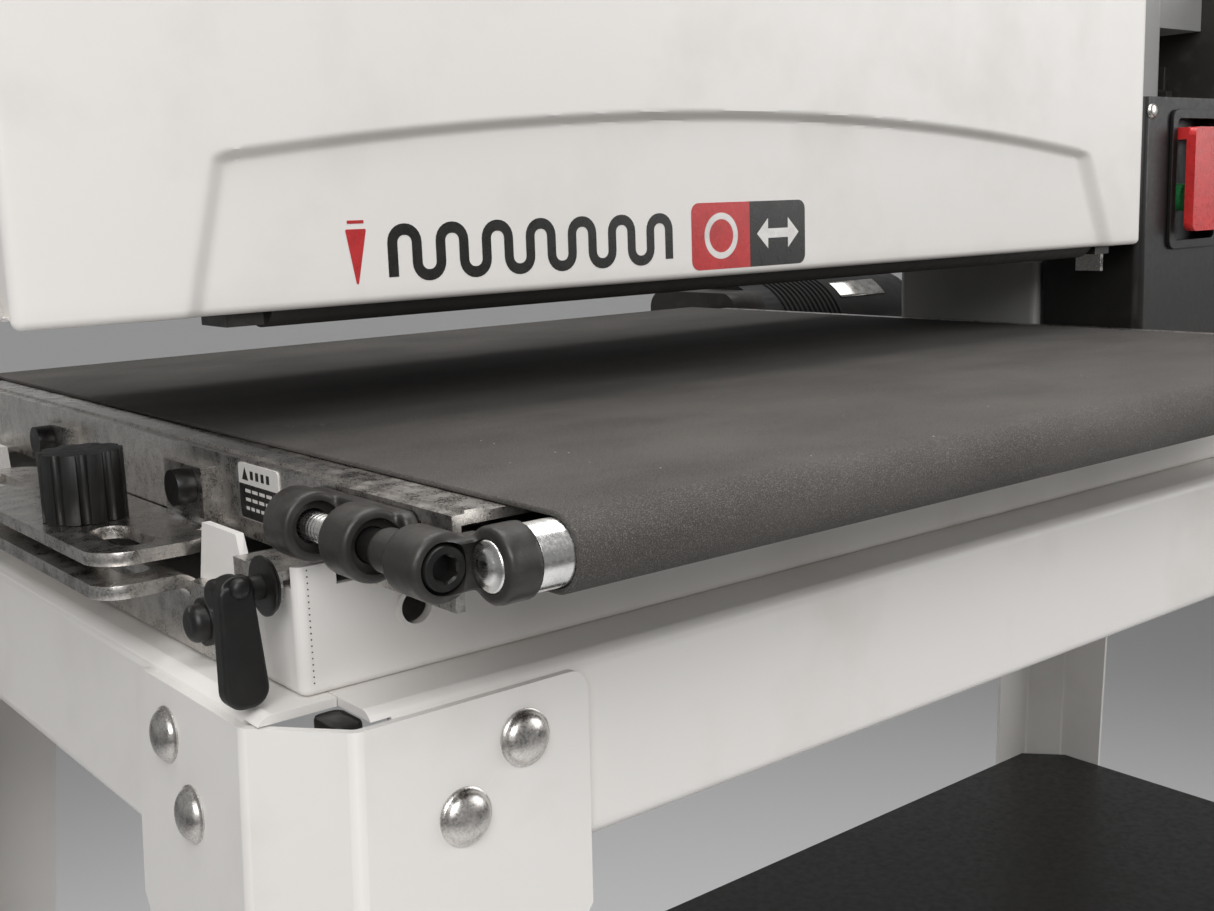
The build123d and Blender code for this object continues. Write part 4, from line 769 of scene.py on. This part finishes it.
def make_takeup():
    """Cast brackets and idler holders of the belt take-up on both sides of the table."""
    bracket = Shape()
    for near, far in TAKEUP_BOSSES:
        bracket.join(boss(near, far, 9.3))
        web = rounded([(TAKEUP_X + 1, near + 0.5), (TABLE_LEFT - 0.2, near - 1.5),
                       (TABLE_LEFT - 0.2, far + 1.5), (TAKEUP_X + 1, far - 0.5)], 1)
        bracket.plate(web, lambda u, v, w: (u, v, w), ROLLER_Z - 5.5, ROLLER_Z + 5.5)
    flange = rounded([(14, -18.5), (66, -18.5), (66, -2.6), (14, -2.6)], 4)
    bracket.plate(flange, on_left(TABLE_LEFT - 4), 0, 3.9, 0.8)
    holder = Shape()
    holder.lathe([(0, 8.4), (0.8, 9.2), (8.6, 9.2), (9.0, 8.8)], (TAKEUP_X + 8, IDLER_Y, ROLLER_Z),
                 (1, 0, 0), 48)
    holder.lathe([(0, 7.4), (0.9, 8.4), (13.2, 8.4), (14, 7.6)], (TAKEUP_X, -12, ROLLER_Z), (0, 1, 0), 48)
    holder.lathe([(0, 5.6), (12, 5.6), (12.4, 5.2)], (TAKEUP_X, 1, ROLLER_Z), (0, 1, 0), 40)
    holder.box((TAKEUP_X, TAKEUP_X + 12), (-14, -6), (ROLLER_Z - 6, ROLLER_Z + 6))
    castings = add_piece("takeup_castings", Shape().join(bracket).join(bracket.opposite()), "table",
                         "cast_black", ["takeup_brackets"])
    cast(castings, 0.7, 3)
    drill = Shape()
    for x in (TAKEUP_X, BELT_WIDTH - TAKEUP_X):
        drill.lathe([(0, 4.6), (60, 4.6)], (x, 8, ROLLER_Z), (0, 1, 0), 40)
        for near, far in TAKEUP_BOSSES:
            drill.lathe([(-3, 6.9), (2.4, 6.9)], (x, near, ROLLER_Z), (0, 1, 0), 40)
    cut(castings, drill)
    holders = add_piece("takeup_holders", Shape().join(holder).join(holder.opposite()), "takeup",
                        "cast_black", ["takeup_blocks"])
    cast(holders, 0.7, 3)
    drill = Shape()
    for x in (TAKEUP_X, BELT_WIDTH - TAKEUP_X):
        drill.lathe([(0, HOLDER_BORE), (60, HOLDER_BORE)], (x, -18, ROLLER_Z), (0, 1, 0), 40)
        drill.lathe([(0, 6.2), (11.3, 6.2)], (x, -18, ROLLER_Z), (0, 1, 0), 40)
    drill.lathe([(0, 6.35), (BELT_WIDTH + 60, 6.35)], (-30, IDLER_Y, ROLLER_Z), (1, 0, 0), 40)
    cut(holders, drill)


def make_takeup_ends():
    """Socket-head screws of the take-up and the domed ends of the idler's shaft."""
    for side, x in (("left", TAKEUP_X), ("right", BELT_WIDTH - TAKEUP_X)):
        head = Shape()
        rings = []
        profile = [(5.2, 5.45, 0), (0.5, 5.45, 0), (0.05, 5.1, 0), (0, 3.5, 0), (0.5, 2.9, 1), (4.2, 2.9, 1)]
        for along, radius, flats in profile:
            ring = []
            for k in range(48):
                angle = 2 * pi * k / 48
                reach = radius / cos((angle + pi / 6) % (pi / 3) - pi / 6) if flats else radius
                ring.append((x + reach * cos(angle), -12.5 + along, ROLLER_Z + reach * sin(angle)))
            rings.append(ring)
        head.loft(rings)
        body = f"takeup_screw_{side}"
        add_piece(f"{body}_head", head, body, "bright_steel", [body], material=MATERIALS["black_paint"],
                  sharp=40)
        shank = [(0, 3.7)]
        for start in (THREAD_PITCH * turn for turn in range(40)):
            shank += [(0.3 + start, 3.95), (1.0 + start, 3.95), (1.4 + start, 3.6)]
        shank = [(a, r) for a, r in shank if a < 71.5] + [(71.9, 3.2)]
        sleeve = Shape().lathe([(0, 3.9), (0.2, 4.3), (17, 4.3), (17.4, 3.9)], (x, 12.6, ROLLER_Z),
                               (0, 1, 0), 32)
        add_piece(f"{body}_sleeve", sleeve, body, "bright_steel", material=MATERIALS["black_paint"])
        add_piece(f"{body}_shank", Shape().lathe(shank, (x, -7.4, ROLLER_Z), (0, 1, 0), 32), body,
                  "bright_steel")
    caps = Shape()
    dome = [(0, 6.15), (-0.5, 6.15), (-0.9, 5.7), (-0.8, 4.4), (-1.5, 3.9), (-2.0, 2.9), (-2.25, 1.4)]
    caps.lathe(dome, (-17.6, IDLER_Y, ROLLER_Z), (1, 0, 0), 48)
    caps.lathe(dome, (BELT_WIDTH + 17.6, IDLER_Y, ROLLER_Z), (-1, 0, 0), 48)
    add_piece("idler_shaft_caps", caps, "idler", "bright_steel", sharp=60)


def make_caution_plate():
    """Generic two-tone notice plate on the table's side wall, with bars in place of words."""
    ink = gloss_plastic("notice_black", (0.014, 0.013, 0.012))
    pale = powder_coat("notice_white", (0.66, 0.64, 0.61), (0.5, 0.48, 0.46))
    face = TABLE_LEFT - 0.35
    whole = rounded([(89, -2.4), (115, -2.4), (115, -19), (89, -19)], 1.6)
    lower = rounded([(89.2, -8.6), (114.8, -8.6), (114.8, -18.8), (89.2, -18.8)], [0.1, 0.1, 1.4, 1.4])
    add_piece("notice_plate", Shape().plate(whole, on_left(face), 0, 0.4), "table", "zinc", material=pale)
    add_piece("notice_panel", Shape().plate(lower, on_left(face - 0.06), 0, 0.2), "table", "zinc",
              material=ink)
    marks = Shape().plate([(112.6, -7.4), (110.6, -3.6), (108.6, -7.4)], on_left(face - 0.06), 0, 0.2)
    for y in (105.2, 101.7, 98.2, 94.7):
        marks.plate([(y, -6.9), (y + 1.9, -6.9), (y + 1.9, -4.4), (y, -4.4)], on_left(face - 0.06), 0, 0.2)
    add_piece("notice_marks", marks, "table", "zinc", material=ink)
    lines = Shape()
    for z, ends in ((-11.0, (93.5, 112)), (-13.6, (94.5, 112)), (-16.2, (99, 112))):
        for k in range(4):
            width = (ends[1] - ends[0]) / 4
            y = ends[0] + k * width
            bar = [(y, z), (y + width - 1.1, z), (y + width - 1.1, z + 1), (y, z + 1)]
            lines.plate(bar, on_left(face - 0.1), 0, 0.2)
    add_piece("notice_lines", lines, "table", "zinc", material=pale)


# --- Clamp levers --------------------------------------------------------------------------------
LEVER_Y, LEVER_Z, LEVER_TIP = 62.0, -26.3, -55.8


def lever_shape():
    """Forged hub barrel with a flat tapering handle and a rivet dome."""
    shape = Shape()
    shape.lathe([(0, 3.0), (0.6, 4.0), (1.3, 4.4), (9.2, 4.4), (10.0, 4.0), (10.6, 3.4), (14.6, 3.4)],
                (-50.4, LEVER_Y, LEVER_Z), (1, 0, 0), 40)
    handle = rounded([(-50.4, LEVER_Z + 3), (-41.2, LEVER_Z + 3), (-38.2, LEVER_TIP), (-50.9, LEVER_TIP)],
                     [2, 2, 5, 5])
    shape.plate(handle, on_front(LEVER_Y - 7), 0, 5.2, 0.8)
    shape.lathe([(0, 4.6), (6, 4.3)], (-45.6, LEVER_Y - 6, LEVER_Z + 1), (0, 1, 0), 32)
    return shape


def make_levers():
    """Both clamp levers with their rivets and washers."""
    rivet = Shape().lathe([(0, 1.0), (0.3, 1.9), (1.0, 2.6), (3.0, 2.8)],
                          (-44.9, LEVER_Y - 8.6, LEVER_Z + 2.4), (0, 1, 0), 28)
    washers = Shape()
    for start, thickness, radius in ((-36.0, 1.1, 8.1), (-34.75, 1.05, 7.3)):
        profile = [(0, radius - 0.5), (0.25, radius), (thickness - 0.25, radius), (thickness, radius - 0.4)]
        washers.lathe(profile, (start, LEVER_Y, LEVER_Z), (1, 0, 0), 56)
    for end in ("front", "rear"):
        handle, dome, rings = lever_shape(), rivet, washers
        if end == "rear":
            handle, dome, rings = handle.mirrored(), dome.mirrored(), rings.mirrored()
        body = f"lock_lever_{end}"
        lever = add_piece(f"{body}_handle", handle, body, "black_plastic", [body])
        cast(lever, 0.42, 3)
        add_piece(f"{body}_rivet", dome, body, "black_plastic", sharp=60)
        add_piece(f"{body}_washers", rings, body, "black_paint")


# --- Fasteners -----------------------------------------------------------------------------------
def solids_of(node):
    """Centre and half size, in machine millimetres, of each separate solid in a CAD node."""
    work = bmesh.new()
    work.from_mesh(frame["nodes"][node].data)
    bmesh.ops.remove_doubles(work, verts=work.verts, dist=0.002 * MM)
    left = set(work.verts)
    found = []
    while left:
        group, queue = [], [left.pop()]
        while queue:
            vertex = queue.pop()
            group.append(machine(vertex.co))
            for edge in vertex.link_edges:
                other = edge.other_vert(vertex)
                if other in left:
                    left.remove(other)
                    queue.append(other)
        low = Vector([min(p[k] for p in group) for k in range(3)])
        high = Vector([max(p[k] for p in group) for k in range(3)])
        found.append(((low + high) / 2, (high - low) / 2))
    work.free()
    return sorted(found, key=lambda item: tuple(round(c, 3) for c in item[0]))


def make_stand_bolts():
    """Domed carriage bolts of the stand with a rolled rim, and their flange nuts."""
    shape = Shape()
    splay = radians(4)
    for centre, half in solids_of("stand_bolts"):
        along_x = half.x > half.y
        outward = 1 if (centre.x > STAND_MIDDLE_X if along_x else centre.y > MIDDLE_Y) else -1
        flat = outward * cos(splay)
        axis = Vector((flat, 0, sin(splay))) if along_x else Vector((0, flat, sin(splay)))
        reach = half.x if along_x else half.y
        tip = centre + axis * (reach / cos(splay) - 0.15)
        dome = [(-15, 3.9), (-4.4, 3.9), (-4.4, 7.7), (-4.1, 8.1), (-3.65, 8.05), (-3.4, 7.55)]
        dome += [(-3.4 * (1 - sin(radians(a))), 7.2 * cos(radians(a)) + 0.05) for a in range(6, 90, 12)]
        shape.lathe(dome, tip - axis * 0.1, axis, 48)
        shape.lathe([(-17.5, 5.6), (-17.0, 6.2), (-11.5, 6.4), (-11.0, 7.6), (-9.8, 7.6)], tip, axis, 6)
    add_piece("stand_bolt_domes", shape, "stand", "zinc", ["stand_bolts"], sharp=42)


# --- Drives --------------------------------------------------------------------------------------
def make_motor_details():
    """Cooling fins, terminal box and fan grille of the drum motor; label and fins of the gear motor."""
    fins = Shape()
    for k in range(36):
        angle = 2 * pi * k / 36
        if 60 < k * 10 < 120:
            continue
        out, across = Vector((0, cos(angle), sin(angle))), Vector((0, -sin(angle), cos(angle)))
        rings = []
        for x in (668, 812):
            centre = Vector((x, MIDDLE_Y, MOTOR_AXIS_Z))
            rings.append([centre + out * r + across * t
                          for r, t in ((73, -1.3), (77.6, -0.8), (77.6, 0.8), (73, 1.3))])
        fins.loft(rings)
    add_piece("drum_motor_fins", fins, "head", "black_paint", bevel=0.4)
    box = Shape()
    low, high = MIDDLE_Y - 34, MIDDLE_Y + 34
    outline = rounded([(692, low), (768, low), (768, high), (692, high)], 6)
    box.plate(outline, lambda u, v, w: (u, v, 196 - w), 0, 34, 1.5)
    add_piece("terminal_box", box, "head", "black_paint", bevel=0.3)
    lid = Shape().plate(shrunk(outline, -1.5), lambda u, v, w: (u, v, 200 - w), 0, 4, 1.2)
    for u, v in ((697, 180), (763, 180), (697, 237), (763, 237)):
        lid.lathe([(0, 3.4), (1.1, 3.1), (1.5, 2.2)], (u, v, 199.6), (0, 0, 1), 24)
    add_piece("terminal_box_lid", lid, "head", "black_paint", bevel=0.2)
    grille = Shape()
    for k in range(5):
        inner, outer = (circle(MIDDLE_Y, MOTOR_AXIS_Z, 16 + 12 * k + wide, 64) for wide in (0, 5))
        section = [[(847.6, *p), (848.6, *p), (848.6, *q), (847.6, *q)] for p, q in zip(inner, outer)]
        grille.loft(section + section[:1], capped=False)
    for k in range(8):
        angle = pi / 8 + 2 * pi * k / 8
        out, across = Vector((0, cos(angle), sin(angle))), Vector((0, -sin(angle), cos(angle)))
        ends = [Vector((848.0, MIDDLE_Y, MOTOR_AXIS_Z)) + out * r for r in (12, 68)]
        grille.loft([[end + across * t + Vector((d, 0, 0)) for t, d in ((-2, 0), (2, 0), (2, 0.9), (-2, 0.9))]
                     for end in ends])
    add_piece("fan_grille", grille, "head", "black_paint")
    rows = []
    for k in range(9):
        angle = radians(118 + 20 * k / 8)
        rows.append([(x, GEAR_MOTOR_Y + 45.25 * cos(angle), GEAR_MOTOR_Z + 45.25 * sin(angle))
                     for x in (568, 614)])
    plate = add_piece("gear_motor_label", Shape().grid(rows), "table", "zinc")
    thick = plate.modifiers.new("thickness", "SOLIDIFY")
    thick.thickness, thick.offset = 0.5 * MM, 1.0
    ribs = Shape()
    for k in range(12):
        ribs.lathe([(0, 44.9), (0.5, 46.4), (2.0, 46.4), (2.5, 44.9)],
                   (508 + 4.6 * k, GEAR_MOTOR_Y, GEAR_MOTOR_Z), (1, 0, 0), 72)
    add_piece("gear_motor_ribs", ribs, "table", "black_paint", sharp=60)


def make_control_marks():
    """Generic dial ring and switch bezel on the control box."""
    pale = powder_coat("panel_print", (0.62, 0.61, 0.59), (0.5, 0.49, 0.48))
    face = 117.9
    bezel = Shape()
    outer = rounded([(496, 36), (544, 36), (544, 106), (496, 106)], 5)
    inner = rounded([(500.5, 40.5), (539.5, 40.5), (539.5, 101.5), (500.5, 101.5)], 3)
    rings = [[(p[0], face, p[1]), (p[0], face - 2, p[1]), (q[0], face - 2, q[1]), (q[0], face, q[1])]
             for p, q in zip(outer, inner)]
    bezel.loft(rings + rings[:1], capped=False)
    add_piece("switch_bezel", bezel, "stand", "black_plastic", bevel=0.4)
    ticks = Shape()
    for k in range(11):
        angle = radians(225 - 27 * k)
        length = 5 if k % 5 == 0 else 3
        along, across = Vector((cos(angle), sin(angle))), Vector((-sin(angle), cos(angle)))
        corners = [Vector((575, 70)) + along * r + across * t
                   for r, t in ((18.5, -0.5), (18.5 + length, -0.5), (18.5 + length, 0.5), (18.5, 0.5))]
        ticks.plate([tuple(c) for c in corners], on_front(face), -0.15, 0.2)
    add_piece("dial_ticks", ticks, "stand", "black_plastic", material=pale)
    screws = Shape()
    for x in (479, 597):
        for z in (-13, 105):
            screws.lathe([(0, 3.8), (1.2, 3.4), (1.7, 2.2)], (x, 118.1, z), (0, -1, 0), 28)
    add_piece("control_box_screws", screws, "stand", "zinc", sharp=50)


def make_base_details():
    """Row of weld dots beside the base's front corner, and the black plug in the leg's corner."""
    dots = Shape()
    for k in range(19):
        dots.lathe([(0, 0.24), (0.12, 0.2)], (-26.4, 55.0, -22.6 - 1.7 * k), (0, -1, 0), 8)
    add_piece("base_seam", dots, "stand", "black_paint")
    block = rounded([(-30, 38), (-21, 38), (-21, 52), (-30, 52)], 3)
    plug = Shape().plate(block, lambda u, v, w: (u, v, -60.2 - w), 0, 6.5, 1.0)
    add_piece("corner_plug", plug, "stand", "black_paint")


make_camera()
make_studio()
finish_cad_nodes()
make_cover()
make_decals()
make_belt()
make_takeup()
make_takeup_ends()
make_caution_plate()
make_levers()
make_stand_bolts()
make_motor_details()
make_control_marks()
make_base_details()
